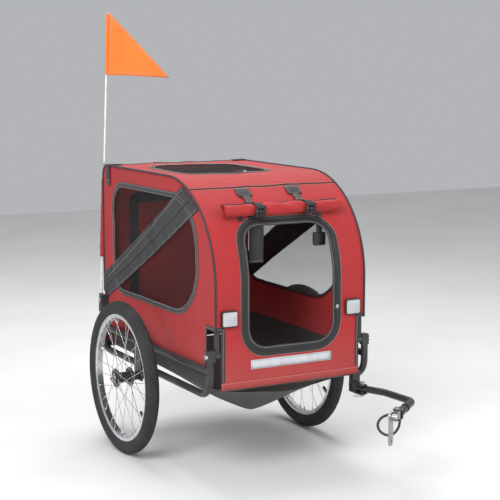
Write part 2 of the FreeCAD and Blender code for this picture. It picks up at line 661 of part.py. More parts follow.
def front_hoop():
    """Legs up the front corners, in past the rear hoop and round the front, joined by a bar at the cross seam."""
    radius = FRONT_ROUND - HOOP_INSET - HOOP_SLACK
    centre_x = FRONT_LEG_X - radius
    turn = math.radians(FRONT_HOOP_ARC)
    ahead = Vector(-math.sin(turn), 0, math.cos(turn))
    edges = []
    for side in (1, -1):
        y = side * FRONT_HOOP_Y
        foot_y = side * FRONT_FOOT_Y
        step = [
            Vector(FRONT_LEG_X, foot_y, FRONT_PIVOT_HEIGHT),
            Vector(FRONT_LEG_X, foot_y, FRONT_PIVOT_HEIGHT + JOGGLE_START),
            Vector(FRONT_LEG_X, y, FRONT_PIVOT_HEIGHT + JOGGLE_END),
            Vector(FRONT_LEG_X, y, ROUND_Z),
        ]
        bends = (JOGGLE_RADIUS, JOGGLE_RADIUS)
        round_centre = Vector(centre_x, y, ROUND_Z)
        top = round_centre + Vector(math.cos(turn), 0, math.sin(turn)) * radius
        inwards = Y_AXIS * -side
        corner_centre = top + inwards * HOOP_CORNER
        bar_end = corner_centre + ahead * HOOP_CORNER
        leg = rounded_route(step, bends) + [
            arc(round_centre, radius, X_AXIS, Z_AXIS, 0, FRONT_HOOP_ARC),
            arc(corner_centre, HOOP_CORNER, inwards * -1, ahead, 0, 90),
        ]
        other_end = Vector(bar_end.x, -bar_end.y, bar_end.z)
        if side > 0:
            edges = leg + [line(bar_end, other_end)]
        else:
            edges = edges + [
                arc(corner_centre, HOOP_CORNER, inwards * -1, ahead, 90, 0),
                arc(round_centre, radius, X_AXIS, Z_AXIS, FRONT_HOOP_ARC, 0),
            ] + rounded_route(step[::-1], bends)
    return with_eyes(tube_along(edges, HOOP_RADIUS), FRONT_LEG_X, FRONT_PIVOT_HEIGHT, FRONT_FOOT_Y)


def rear_hoop():
    """Upright legs at the rear corners, joined by a bar under the rear edge of the roof."""
    points = [
        Vector(REAR_LEG_X, REAR_HOOP_Y, REAR_PIVOT_HEIGHT), Vector(REAR_LEG_X, REAR_HOOP_Y, REAR_BAR_HEIGHT),
        Vector(REAR_LEG_X, -REAR_HOOP_Y, REAR_BAR_HEIGHT), Vector(REAR_LEG_X, -REAR_HOOP_Y, REAR_PIVOT_HEIGHT),
    ]
    bar = tube_along(rounded_route(points, (REAR_HOOP_CORNER,) * 2), HOOP_RADIUS)
    return with_eyes(bar, REAR_LEG_X, REAR_PIVOT_HEIGHT, REAR_HOOP_Y)


def knuckle(pivot_x, pivot_z, hoop_y):
    """The block on top of a stub that a hoop's leg turns on."""
    low = (pivot_x - HOOP_RADIUS, hoop_y + HOOP_RADIUS + GAP, pivot_z - KNUCKLE_HALF_HEIGHT)
    high = (pivot_x + HOOP_RADIUS, RAIL_Y + RAIL_RADIUS, pivot_z + KNUCKLE_HALF_HEIGHT)
    block = box(low, high)
    level = [edge for edge in block.Edges if edge.BoundBox.XLength > edge.BoundBox.ZLength + edge.BoundBox.YLength]
    block = block.makeFillet(HOOP_RADIUS / 2, level)
    hole = rod(BOLT_RADIUS, (pivot_x, hoop_y, pivot_z), (pivot_x, RAIL_Y + RAIL_RADIUS + OVERRUN, pivot_z))
    return block.cut(hole)


def pivot_bolt(pivot_x, pivot_z, hoop_y):
    outer_y = RAIL_Y + RAIL_RADIUS
    inner_y = hoop_y - HOOP_RADIUS - GAP
    shank = rod(BOLT_RADIUS, (pivot_x, inner_y, pivot_z), (pivot_x, outer_y, pivot_z))
    head = rod(BOLT_HEAD_RADIUS, (pivot_x, outer_y, pivot_z), (pivot_x, outer_y + BOLT_HEAD_LENGTH, pivot_z))
    nut = rod(BOLT_HEAD_RADIUS, (pivot_x, inner_y - BOLT_HEAD_LENGTH, pivot_z), (pivot_x, inner_y, pivot_z))
    return fused([shank, head, nut])


def side_frame():
    """The lower rail with its ends bent up into the stubs that carry the knuckles."""
    points = [
        Vector(REAR_LEG_X, RAIL_Y, REAR_PIVOT_HEIGHT - KNUCKLE_HALF_HEIGHT),
        Vector(REAR_LEG_X, RAIL_Y, RAIL_HEIGHT), Vector(FRONT_LEG_X, RAIL_Y, RAIL_HEIGHT),
        Vector(FRONT_LEG_X, RAIL_Y, FRONT_PIVOT_HEIGHT - KNUCKLE_HALF_HEIGHT),
    ]
    return tube_along(rounded_route(points, (RAIL_CORNER,) * 2), RAIL_RADIUS)


def upper_rail(frame_bar):
    start = (REAR_LEG_X, RAIL_Y, UPPER_RAIL_HEIGHT)
    return rod(RAIL_RADIUS, start, (FRONT_LEG_X, RAIL_Y, UPPER_RAIL_HEIGHT)).cut(frame_bar)


def corner_mid(leg_x, inwards):
    """The middle (x, z) of a side frame's bend below a stub."""
    half_share = 1 - math.cos(math.radians(45))
    return leg_x + inwards * RAIL_CORNER * half_share, RAIL_HEIGHT + RAIL_CORNER * half_share


def cross_bar(leg_x, inwards, frame_bars):
    x, z = corner_mid(leg_x, inwards)
    bar = rod(RAIL_RADIUS, (x, -RAIL_Y, z), (x, RAIL_Y, z))
    for frame_bar in frame_bars:
        bar = bar.cut(frame_bar)
    return max(bar.Solids, key=lambda solid: solid.Volume)


def tow_points():
    pin = Vector(TOW_PIN_X, TOW_PIN_Y, TOW_HEIGHT)
    bends = [Vector(x, y, TOW_HEIGHT) for x, y in TOW_BENDS]
    tail = pin + (pin - bends[0]).normalize() * TOW_TAIL
    return [tail] + bends + [Vector(TOW_END[0], TOW_END[1], TOW_HEIGHT)]


def tow_arm():
    points = tow_points()
    bar = tube_along(rounded_route(points, (TOW_BEND_RADIUS,) * len(TOW_BENDS)), TOW_RADIUS)
    reach = TOW_RADIUS + OVERRUN
    hole = rod(TOW_PIN_RADIUS + RUNNING, (TOW_PIN_X, TOW_PIN_Y, TOW_HEIGHT - reach),
               (TOW_PIN_X, TOW_PIN_Y, TOW_HEIGHT + reach))
    return bar.cut(hole)


def tow_plate_heights():
    """Bottom and top of the bracket's lower and upper plate."""
    near = TOW_RADIUS + GAP
    far = near + BRACKET_THICKNESS
    return (TOW_HEIGHT - far, TOW_HEIGHT - near), (TOW_HEIGHT + near, TOW_HEIGHT + far)


def tow_bracket(front_bar):
    lower, upper = tow_plate_heights()
    bar_x, bar_z = corner_mid(FRONT_LEG_X, -1)
    right = TOW_PIN_Y - BRACKET_HALF_WIDTH
    left = min(TOW_PIN_Y + BRACKET_HALF_WIDTH, RAIL_Y - RAIL_RADIUS)
    nose = TOW_PIN_X + BRACKET_NOSE
    plates = [box((BRACKET_REAR_X, right, low), (nose, left, high)) for low, high in (lower, upper)]
    web = box((BRACKET_REAR_X, right, lower[0]), (BRACKET_REAR_X + BRACKET_WEB, left, upper[1]))
    riser = box((bar_x - RAIL_RADIUS, right, upper[1]), (bar_x + RAIL_RADIUS, left, bar_z))
    hole = rod(TOW_PIN_RADIUS, (TOW_PIN_X, TOW_PIN_Y, lower[0] - OVERRUN),
               (TOW_PIN_X, TOW_PIN_Y, upper[1] + OVERRUN))
    return fused(plates + [web, riser]).cut(hole).cut(front_bar)


def tow_pin():
    lower, upper = tow_plate_heights()
    shank = rod(TOW_PIN_RADIUS, (TOW_PIN_X, TOW_PIN_Y, lower[0] - TOW_PIN_TAIL), (TOW_PIN_X, TOW_PIN_Y, upper[1]))
    head = rod(TOW_PIN_HEAD_RADIUS, (TOW_PIN_X, TOW_PIN_Y, upper[1]),
               (TOW_PIN_X, TOW_PIN_Y, upper[1] + TOW_PIN_HEAD))
    return fused([shank, head])


def tow_pin_clip():
    """A spring clip sprung half round the pin's tail, with its pull ring."""
    lower, _ = tow_plate_heights()
    z = lower[0] - TOW_PIN_TAIL / 2
    bend = TOW_PIN_RADIUS + CLIP_WIRE
    pin = Vector(TOW_PIN_X, TOW_PIN_Y, z)
    ring = pin - Y_AXIS * CLIP_TAIL
    edges = [
        arc(pin, bend, X_AXIS, Y_AXIS, 180, 0),
        line(pin + X_AXIS * bend, ring + X_AXIS * bend),
        arc(ring, bend, X_AXIS, Y_AXIS, 0, -270),
    ]
    return tube_along(edges, CLIP_WIRE)


def hitch_axes():
    """The end of the arm, the way it points, and the level way across it."""
    points = tow_points()
    ahead = (points[-1] - points[-2]).normalize()
    across = ahead.cross(Z_AXIS)
    return points[-1], ahead, across


def hitch_block(low, high):
    """A block given along, across and above the end of the arm."""
    end, ahead, across = hitch_axes()
    block = box(low, high)
    frame = FreeCAD.Matrix(ahead.x, -across.x, 0, end.x, ahead.y, -across.y, 0, end.y, 0, 0, 1, end.z, 0, 0, 0, 1)
    return block.transformed(frame)


def hitch_point(along, sideways, above):
    end, ahead, across = hitch_axes()
    return end + ahead * along + across * sideways + Z_AXIS * above


def hitch_rod(radius, start, end):
    return rod(radius, hitch_point(*start), hitch_point(*end))


def hitch_clevis():
    gap = SWIVEL_HALF_HEIGHT + GAP
    far = gap + CLEVIS_PLATE
    base = hitch_block((0, -CLEVIS_HALF_WIDTH, -far), (CLEVIS_BASE, CLEVIS_HALF_WIDTH, far))
    plates = []
    for low, high in ((-far, -gap), (gap, far)):
        plates.append(hitch_block((0, -CLEVIS_HALF_WIDTH, low), (SWIVEL_OFFSET, CLEVIS_HALF_WIDTH, high)))
        plates.append(hitch_rod(CLEVIS_HALF_WIDTH, (SWIVEL_OFFSET, 0, low), (SWIVEL_OFFSET, 0, high)))
    hole = hitch_rod(HITCH_PIN_RADIUS, (SWIVEL_OFFSET, 0, -far - OVERRUN), (SWIVEL_OFFSET, 0, far + OVERRUN))
    return fused([base] + plates).cut(hole)


def hitch_swivel_pin():
    far = SWIVEL_HALF_HEIGHT + GAP + CLEVIS_PLATE
    shank = hitch_rod(HITCH_PIN_RADIUS, (SWIVEL_OFFSET, 0, -far), (SWIVEL_OFFSET, 0, far))
    heads = []
    for side in (-1, 1):
        heads.append(hitch_rod(HITCH_PIN_HEAD_RADIUS, (SWIVEL_OFFSET, 0, side * far),
                               (SWIVEL_OFFSET, 0, side * (far + HITCH_PIN_HEAD))))
    return fused([shank] + heads)


def hitch_swivel():
    half = SWIVEL_HALF_HEIGHT
    tilt = SWIVEL_OFFSET + LUG_REACH
    barrel = hitch_rod(SWIVEL_RADIUS, (SWIVEL_OFFSET, 0, -half), (SWIVEL_OFFSET, 0, half))
    lug = hitch_block((SWIVEL_OFFSET, -LUG_HALF_WIDTH, -LUG_RADIUS), (tilt, LUG_HALF_WIDTH, LUG_RADIUS))
    nose = hitch_rod(LUG_RADIUS, (tilt, -LUG_HALF_WIDTH, 0), (tilt, LUG_HALF_WIDTH, 0))
    upright = hitch_rod(HITCH_PIN_RADIUS + RUNNING, (SWIVEL_OFFSET, 0, -half - OVERRUN),
                        (SWIVEL_OFFSET, 0, half + OVERRUN))
    reach = LUG_HALF_WIDTH + OVERRUN
    level = hitch_rod(HITCH_PIN_RADIUS, (tilt, -reach, 0), (tilt, reach, 0))
    return fused([barrel, lug, nose]).cut(upright).cut(level)


def hitch_tilt_pin():
    tilt = SWIVEL_OFFSET + LUG_REACH
    plate_far = LUG_HALF_WIDTH + PLATE_THICKNESS + 2 * GAP
    shank = hitch_rod(HITCH_PIN_RADIUS, (tilt, -LUG_HALF_WIDTH, 0), (tilt, plate_far, 0))
    head = hitch_rod(HITCH_PIN_HEAD_RADIUS, (tilt, plate_far, 0), (tilt, plate_far + HITCH_PIN_HEAD, 0))
    tail = hitch_rod(HITCH_PIN_HEAD_RADIUS, (tilt, -LUG_HALF_WIDTH - HITCH_PIN_HEAD, 0), (tilt, -LUG_HALF_WIDTH, 0))
    return fused([shank, head, tail])


def hitch_plate():
    """The flat arm that hangs from the level pin and takes the bicycle's axle."""
    tilt = SWIVEL_OFFSET + LUG_REACH
    near = LUG_HALF_WIDTH + GAP
    far = near + PLATE_THICKNESS
    half_width = PLATE_WIDTH / 2
    bar = hitch_block((tilt - half_width, -far, -PLATE_DROP), (tilt + half_width, -near, 0))
    pieces = [bar]
    for drop in (0, PLATE_DROP):
        pieces.append(hitch_rod(half_width, (tilt, near, -drop), (tilt, far, -drop)))
    pin_hole = hitch_rod(HITCH_PIN_RADIUS + RUNNING, (tilt, 0, 0), (tilt, far + OVERRUN, 0))
    axle_hole = hitch_rod(AXLE_HOLE_RADIUS, (tilt, 0, -PLATE_DROP), (tilt, far + OVERRUN, -PLATE_DROP))
    return fused(pieces).cut(pin_hole).cut(axle_hole)


def safety_cord():
    """A cord loop that hangs beside the arm's last run from two points on it."""
    points = [hitch_point(-back, out, -down) for back, out, down in CORD_ROUTE]
    runs = [(b - a).Length for a, b in zip(points, points[1:])]
    radii = []
    for before, corner, after, first, second in zip(points, points[1:], points[2:], runs, runs[1:]):
        turn = (corner - before).getAngle(after - corner)
        radii.append(CORD_ARC_SHARE * min(first, second) / math.tan(turn / 2))
    edges = rounded_route(points, radii)
    length = sum(edge.Length for edge in edges)
    print("safety cord length", round(length, 1), "radii", [round(radius, 1) for radius in radii])
    return tube_along(edges, CORD_RADIUS)


def cord_rings():
    """Two collars on the arm with lugs that the safety cord's ends are clamped in."""
    half = CORD_RADIUS + RIM_WALL
    rings = []
    for back, out, down in (CORD_ROUTE[0], CORD_ROUTE[-1]):
        ring = hitch_rod(TOW_RADIUS + RIM_WALL, (-back - half, 0, 0), (-back + half, 0, 0))
        lug = hitch_block((-back - half, -out - half, -down - half), (-back + half, half - out, half - down))
        bore = hitch_rod(TOW_RADIUS, (-back - half - OVERRUN, 0, 0), (-back + half + OVERRUN, 0, 0))
        rings.append(fused([ring, lug]).cut(bore))
    return Part.makeCompound(rings)


def pole_point(height):
    return Vector(POLE_X, (height - POLE_BOTTOM) * math.tan(math.radians(POLE_LEAN)) - RAIL_Y, height)


def pole_rod(radius, low, high):
    return rod(radius, pole_point(low), pole_point(high))


def flag_socket(frame_bar):
    bottom = POLE_BOTTOM - SOCKET_FLOOR
    cup = pole_rod(SOCKET_RADIUS, bottom, SOCKET_TOP)
    low = (POLE_X, -RAIL_Y - SOCKET_CLIP_HALF_WIDTH, bottom)
    high = (REAR_LEG_X, -RAIL_Y + SOCKET_CLIP_HALF_WIDTH, bottom + SOCKET_CLIP_HEIGHT)
    bore = pole_rod(POLE_RADIUS + RUNNING, POLE_BOTTOM, SOCKET_TOP + OVERRUN)
    clip = box(low, high).cut(frame_bar)
    clip = min(clip.Solids, key=lambda solid: solid.CenterOfMass.x)
    return fused([cup, clip]).cut(bore)


def flag_ferrule():
    low = POLE_JOINT - FERRULE_HALF_LENGTH
    high = POLE_JOINT + FERRULE_HALF_LENGTH
    sleeve = pole_rod(FERRULE_RADIUS, low, high)
    return sleeve.cut(pole_rod(POLE_RADIUS, low, POLE_JOINT)).cut(pole_rod(POLE_TOP_RADIUS, POLE_JOINT, high))


def pennant():
    turn = math.radians(PENNANT_HEADING)
    ahead = Vector(math.cos(turn), math.sin(turn), 0)
    aside = Vector(-math.sin(turn), math.cos(turn), 0)
    offset = aside * (PENNANT_THICKNESS / 2)
    root = pole_point(POLE_TOP - PENNANT_HEIGHT) - offset
    corners = [root, root + ahead * PENNANT_LENGTH, pole_point(POLE_TOP) - offset]
    sheet = polygon(corners).extrude(aside * PENNANT_THICKNESS)
    return sheet.cut(pole_rod(POLE_TOP_RADIUS, POLE_JOINT, POLE_TOP + OVERRUN))


def wheel_pieces(side):
    sign = SIDES[side]
    wheel_y = sign * WHEEL_Y
    makers = {"tyre": tyre, "rim": rim, "spokes": spokes, "hub": hub, "bearings": bearings}
    return {name + "_" + side: maker(wheel_y) for name, maker in makers.items()}


def both_sides(shapes):
    """One group of the left side's pieces and their mirror images."""
    return Part.makeCompound(shapes + [mirrored(shape) for shape in shapes])


def handed_pieces():
    """Pieces of the left side, whose mirror images are those of the right side."""
    frame_bar = side_frame()
    return {
        "side_frame": frame_bar,
        "upper_rail": upper_rail(frame_bar),
        "knuckle_front": knuckle(*FRONT_PIVOT),
        "knuckle_rear": knuckle(*REAR_PIVOT),
        "axle_receiver": axle_receiver(),
        "axle": axle(),
        "quick_release_button": quick_release_button(),
        "cover_side": cover_side(),
        "window_mesh": window(MESH, INNER_HALF_WIDTH + (PANEL - MESH) / 2),
    }


def all_pieces():
    pieces = {}
    for name, shape in handed_pieces().items():
        pieces[name + "_left"] = shape
        pieces[name + "_right"] = mirrored(shape)
    for side in SIDES:
        pieces.update(wheel_pieces(side))
    frame_bars = [pieces["side_frame_" + side] for side in SIDES]
    pieces["front_cross_bar"] = cross_bar(FRONT_LEG_X, -1, frame_bars)
    pieces["rear_cross_bar"] = cross_bar(REAR_LEG_X, 1, frame_bars)
    skin = cabin_skin()
    pieces["cover_front"] = cover_front(skin)
    pieces["cover_roof"] = cover_roof(skin)
    pieces["cover_rear"] = cover_rear(skin)
    pieces["roof_hatch_mesh"] = hatch(MESH, ROOF_HEIGHT - (PANEL + MESH) / 2)
    pieces["floor_sling"] = floor_sling()
    pieces["side_bands"] = both_sides([side_band()])
    pieces["reflectors"] = both_sides([reflector()])
    pieces["pivot_bolts"] = both_sides([pivot_bolt(*FRONT_PIVOT), pivot_bolt(*REAR_PIVOT)])
    pieces["reflective_strip"] = reflective_strip()
    pieces["front_hoop"] = front_hoop()
    pieces["rear_hoop"] = rear_hoop()
    pieces["rolled_door"] = rolled_door()
    pieces["door_straps"] = Part.makeCompound([door_strap(sign * STRAP_Y) for sign in SIDES.values()])
    pieces["strap_buckles"] = Part.makeCompound([strap_buckle(sign * STRAP_Y) for sign in SIDES.values()])
    pieces["tow_bracket"] = tow_bracket(pieces["front_cross_bar"])
    pieces["tow_pin"] = tow_pin()
    pieces["tow_pin_clip"] = tow_pin_clip()
    pieces["tow_arm"] = tow_arm()
    pieces["hitch_clevis"] = hitch_clevis()
    pieces["hitch_swivel_pin"] = hitch_swivel_pin()
    pieces["hitch_swivel"] = hitch_swivel()
    pieces["hitch_tilt_pin"] = hitch_tilt_pin()
    pieces["hitch_plate"] = hitch_plate()
    pieces["safety_cord"] = safety_cord()
    pieces["cord_rings"] = cord_rings()
    pieces["flag_socket"] = flag_socket(pieces["side_frame_right"])
    pieces["flag_pole_lower"] = pole_rod(POLE_RADIUS, POLE_BOTTOM, POLE_JOINT)
    pieces["flag_pole_upper"] = pole_rod(POLE_TOP_RADIUS, POLE_JOINT, POLE_TOP)
    pieces["flag_ferrule"] = flag_ferrule()
    pieces["pennant"] = pennant()
    return pieces


def main():
    pieces = all_pieces()
    box_of_all = Part.makeCompound(list(pieces.values())).BoundBox
    to_origin = Vector(-(box_of_all.XMin + box_of_all.XMax) / 2, 0, 0)
    print("nodes", len(pieces), "moved along x by", round(to_origin.x, 4), "box", box_of_all)
    os.makedirs("parts", exist_ok=True)
    for name, shape in pieces.items():
        placed = shape.copy()
        placed.translate(to_origin)
        placed.exportStep("parts/" + name + ".step")


main()
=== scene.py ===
import json
import math

import bmesh
import bpy
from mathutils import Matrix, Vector, geometry, kdtree, noise


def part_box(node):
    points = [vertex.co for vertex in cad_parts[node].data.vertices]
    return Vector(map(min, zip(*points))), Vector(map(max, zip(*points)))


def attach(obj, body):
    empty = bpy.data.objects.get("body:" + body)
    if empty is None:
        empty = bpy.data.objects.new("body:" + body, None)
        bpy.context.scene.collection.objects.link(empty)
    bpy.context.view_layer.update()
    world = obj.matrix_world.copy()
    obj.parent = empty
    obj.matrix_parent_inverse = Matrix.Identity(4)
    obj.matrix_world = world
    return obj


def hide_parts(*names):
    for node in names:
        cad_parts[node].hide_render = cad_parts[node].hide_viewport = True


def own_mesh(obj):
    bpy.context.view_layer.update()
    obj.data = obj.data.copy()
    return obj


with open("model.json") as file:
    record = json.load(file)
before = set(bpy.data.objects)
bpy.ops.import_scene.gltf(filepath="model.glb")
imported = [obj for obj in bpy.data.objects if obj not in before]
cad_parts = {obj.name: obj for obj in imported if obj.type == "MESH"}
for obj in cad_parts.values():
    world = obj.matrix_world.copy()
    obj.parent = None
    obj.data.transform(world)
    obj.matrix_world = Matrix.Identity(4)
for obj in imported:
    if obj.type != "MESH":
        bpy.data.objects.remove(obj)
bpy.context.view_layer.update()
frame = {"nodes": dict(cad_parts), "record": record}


# Dog bike trailer, in metres: +X the way it is towed, +Y left, +Z up.

def box(node):
    """The low and the high corner of a node of the frame."""
    return [Vector(corner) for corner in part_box(node)]


# Places read from the frame
SIDE_LOW, SIDE_HIGH = box("cover_side_left")
WINDOW_LOW, WINDOW_HIGH = box("window_mesh_left")
HATCH_LOW, HATCH_HIGH = box("roof_hatch_mesh")
STRIP_LOW, STRIP_HIGH = box("reflective_strip")
ROLL_LOW, ROLL_HIGH = box("rolled_door")
FLOOR_LOW, FLOOR_HIGH = box("floor_sling")
CABIN_REAR = SIDE_LOW.x
CABIN_FRONT = SIDE_HIGH.x
ROOF = SIDE_HIGH.z
HALF = SIDE_HIGH.y
HEM = box("cover_front")[0].z
SIDE_HEM = SIDE_LOW.z
SEAM_X = box("cover_front")[0].x
ROOF_REAR = box("cover_roof")[0].x
SHIFT = CABIN_FRONT - 0.500     # from the wheel axle to the middle of the footprint

# The cabin's outline, as it is cut
FRONT_ROUND = 0.315
REAR_ROUND = ROOF_REAR - CABIN_REAR
ROUND_X = CABIN_FRONT - FRONT_ROUND
ROUND_Z = ROOF - FRONT_ROUND
SLIT_TOP = 0.480
SLIT_DEPTH = 0.060
FRONT_NOTCH = 0.020
SLIT_REAR_X = CABIN_REAR + SLIT_DEPTH / 2
SLIT_FRONT_X = CABIN_FRONT - SLIT_DEPTH
NOTCH_Y = HALF - FRONT_NOTCH
DOOR_HALF = 0.157
DOOR_BOTTOM = 0.410
DOOR_TOP = 0.790
DOOR_CORNER = 0.070
WINDOW_REAR_CORNER = 0.080
WINDOW_FRONT_CORNER = 0.165
HATCH_FRONT_CORNER = 0.050
HATCH_REAR_CORNER = 0.120

# Cloth
CLOTH = 0.0012
NET = 0.0004
CLOTH_STEP = 0.012      # spacing of the points that cloth is modelled with
LOOP_STEP = 0.008       # spacing of points along a cut edge
FINE_STEP = 0.006       # the same on small pieces
SEAM_LAP = 0.005        # how far a net reaches under the cloth round it
SIDE_BOW = 0.010        # how far the slack side panels pull in between their edges
BINDING = 0.018
PIPING = 0.0032
ZIP_TAPE = 0.030
ZIP_OFFSET = 0.004      # from the door's cut edge out to the middle of its zip
TOOTH_PITCH = 0.0034
STITCH_PITCH = 0.0072
STITCH_LENGTH = 0.0044
STITCH_RADIUS = 0.00055
GRID = CLOTH_STEP * 1
SPARSE = 1
UP = Vector((0, 0, 1))
LEFT = Vector((0, 1, 0))
AHEAD = Vector((1, 0, 0))
SIDES = {"left": 1, "right": -1}


# Materials

def scaled(colour, share):
    return tuple(min(1.0, channel * share) for channel in colour)


class Shade:
    """A material being made: its nodes and its main shader."""

    def __init__(self, name):
        self.material = bpy.data.materials.new(name)
        self.material.use_nodes = True
        self.nodes = self.material.node_tree.nodes
        self.shader = self.nodes["Principled BSDF"]
        coordinates = self.nodes.new("ShaderNodeTexCoord")
        self.flat = coordinates.outputs["UV"]
        self.place = coordinates.outputs["Object"]

    def feed(self, socket, value):
        """Link a node's output to a socket, or set the socket to a number or a colour."""
        if isinstance(value, bpy.types.NodeSocket):
            self.material.node_tree.links.new(value, socket)
        elif socket.type == "RGBA":
            socket.default_value = (*value, 1.0)
        else:
            socket.default_value = value

    def set(self, name, value):
        """Feed an input of the main shader."""
        self.feed(self.shader.inputs[name], value)

    def node(self, kind, inputs):
        made = self.nodes.new("ShaderNode" + kind)
        for key, value in inputs.items():
            self.feed(made.inputs[key], value)
        return made

    def calc(self, operation, *values):
        made = self.node("Math", dict(enumerate(values)))
        made.operation = operation
        return made.outputs[0]

    def noise(self, scale, detail=3.0):
        made = self.node("TexNoise", {"Scale": scale, "Detail": detail, "Vector": self.place})
        return made.outputs["Fac"]

    def tones(self, factor, colour, low, high, span=(0.3, 0.7)):
        """A colour from its low to its high share, as the factor goes over the span."""
        ramp = self.node("ValToRGB", {"Fac": factor})
        for element, share, position in zip(ramp.color_ramp.elements, (low, high), span):
            element.position = position
            element.color = (*scaled(colour, share), 1.0)
        return ramp.outputs["Color"]

    def mix(self, factor, first, second):
        made = self.nodes.new("ShaderNodeMix")
        made.data_type = "RGBA"
        for key, value in (("Factor", factor), ("A", first), ("B", second)):
            self.feed(made.inputs[key], value)
        return made.outputs["Result"]

    def rough(self, factor, low, high):
        ranged = self.node("MapRange", {"Value": factor, "To Min": low, "To Max": high})
        self.set("Roughness", ranged.outputs["Result"])

    def bump(self, height, strength, distance, below=None):
        made = self.node("Bump", {"Height": height, "Strength": strength, "Distance": distance})
        if below is not None:
            self.feed(made.inputs["Normal"], below)
        self.set("Normal", made.outputs["Normal"])
        return made.outputs["Normal"]

    def weave(self, vector, pitch, axes=(0, 1)):
        """Crossing threads: a height that rises and falls along two axes."""
        parts = self.node("SeparateXYZ", {0: vector}).outputs
        turns = [self.calc("MULTIPLY", parts[axis], math.tau / pitch) for axis in axes]
        return self.calc("MULTIPLY", *[self.calc("SINE", turn) for turn in turns])


ROAD_DUST = (0.30, 0.27, 0.23)
CHIPPED = (0.34, 0.34, 0.35)
WHITE = (1, 1, 1)
DUST_TOP = 0.16         # above the hem
DUST_FULL = -0.04
DUST_SHARE = 0.32
SHEEN = 0.06


def woven_cloth(name, colour, pitch=0.0011):
    """Coated polyester: threads with their tops painted lighter as a painted highlight, soft creases, uneven
    dye and a little road dust low down.
    """
    made = Shade(name)
    threads = made.weave(made.flat, pitch)
    broad = made.noise(7.0)
    dyed = made.tones(broad, colour, 0.80, 1.15, (0.25, 0.75))
    flecks = made.calc("MULTIPLY", made.noise(160.0, 2.0), 0.22)
    flecked = made.mix(flecks, dyed, scaled(colour, 0.55))
    # Painted highlight: the tops of the threads are painted lighter than the rest of the cloth.
    lit = made.calc("MULTIPLY_ADD", threads, 0.10, 0.5)
    threaded = made.mix(lit, flecked, scaled(colour, 1.6))
    height = made.node("SeparateXYZ", {0: made.place}).outputs[2]
    low = made.node("MapRange", {"Value": height, "From Min": HEM + DUST_TOP, "From Max": HEM + DUST_FULL,
                                 "To Max": DUST_SHARE})
    dusty = made.calc("MULTIPLY", low.outputs["Result"], broad)
    made.set("Base Color", made.mix(dusty, threaded, ROAD_DUST))
    made.rough(broad, 0.62, 0.84)
    creases = made.bump(made.noise(26.0, 4.0), 0.25, 0.004)
    made.bump(threads, 0.35, 0.0004, creases)
    made.set("Sheen Weight", SHEEN)
    made.set("Sheen Roughness", 0.45)
    return made.material


def webbing(name, colour, rib=0.0022):
    """Flat woven strap: ribs across it and a fine cross thread, the tops of the ribs painted lighter as a
    painted highlight.
    """
    made = Shade(name)
    threads = made.weave(made.flat, rib)
    tone = made.noise(40.0)
    # Painted highlight: the tops of the ribs are painted lighter.
    lit = made.calc("MULTIPLY_ADD", threads, 0.25, 0.5)
    made.set("Base Color", made.mix(lit, made.tones(tone, colour, 0.7, 1.3), scaled(colour, 2.2)))
    made.rough(tone, 0.6, 0.85)
    made.bump(threads, 0.6, 0.0006)
    made.set("Sheen Weight", SHEEN)
    return made.material


def window_net(name, colour, pitch=0.0030, thread_share=0.22):
    """Open net: slightly wavy threads with see-through holes between them."""
    made = Shade(name)
    sway = made.calc("MULTIPLY", made.noise(16.0, 1.0), 0.009)
    wavy = made.node("VectorMath", {0: made.flat, 1: sway}).outputs[0]
    hole = made.calc("ABSOLUTE", made.weave(wavy, 2 * pitch))
    thread = made.calc("LESS_THAN", hole, thread_share)
    tone = made.noise(30.0)
    made.set("Base Color", made.tones(tone, colour, 0.7, 1.4))
    made.set("Alpha", made.calc("MULTIPLY_ADD", thread, 0.56, 0.06))
    made.rough(tone, 0.55, 0.8)
    made.bump(hole, 0.5, 0.0005)
    return made.material


def powder_coat(name, colour):
    """Baked paint on steel: a fine orange-peel skin, worn lighter in small chips."""
    made = Shade(name)
    broad = made.noise(18.0)
    worn = made.tones(made.noise(95.0, 5.0), WHITE, 0, 1, (0.70, 0.76))
    made.set("Base Color", made.mix(worn, made.tones(broad, colour, 0.8, 1.35), CHIPPED))
    made.rough(broad, 0.30, 0.46)
    made.bump(made.noise(900.0, 2.0), 0.12, 0.0004)
    made.set("Coat Weight", 0.2)
    return made.material


def bare_metal(name, colour, low, high):
    """Plated or brushed metal: fine grain and cloudy wear."""
    made = Shade(name)
    grain = made.noise(240.0, 4.0)
    made.set("Base Color", made.tones(made.noise(30.0), colour, 0.82, 1.08))
    made.set("Metallic", 1.0)
    made.rough(grain, low, high)
    made.bump(grain, 0.08, 0.0003)
    return made.material


def moulded_plastic(name, colour, low=0.4, high=0.6, grain=700.0):
    """Spark-textured moulding with slightly uneven gloss."""
    made = Shade(name)
    cloud = made.noise(24.0)
    made.set("Base Color", made.tones(cloud, colour, 0.85, 1.2))
    made.rough(cloud, low, high)
    made.bump(made.noise(grain, 2.0), 0.18, 0.0003)
    return made.material


def tyre_rubber(name, colour):
    """Dull black rubber, greyed by dust."""
    made = Shade(name)
    cloud = made.noise(14.0, 5.0)
    made.set("Base Color", made.tones(cloud, colour, 1.0, 2.4, (0.35, 0.75)))
    made.rough(cloud, 0.62, 0.88)
    made.bump(made.noise(420.0), 0.25, 0.0005)
    return made.material


def prism_lens(name, colour, pitch=0.0045):
    """Moulded reflector: a lattice of small prisms under a clear gloss, painted lighter and darker facet by
    facet as painted glints and painted shade.
    """
    made = Shade(name)
    turned = made.node("Mapping", {"Rotation": (math.radians(45), 0, 0), "Vector": made.place})
    lattice = made.weave(turned.outputs["Vector"], pitch, (1, 2))
    # Painted glints and shade: the prisms' lit and shaded facets are painted into the lens colour.
    lit = made.calc("MULTIPLY_ADD", lattice, 0.5, 0.5)
    made.set("Base Color", made.tones(lit, colour, 0.35, 1.0, (0.0, 0.7)))
    made.rough(made.noise(40.0), 0.08, 0.2)
    made.bump(lattice, 0.6, 0.001)
    made.set("Coat Weight", 0.8)
    return made.material


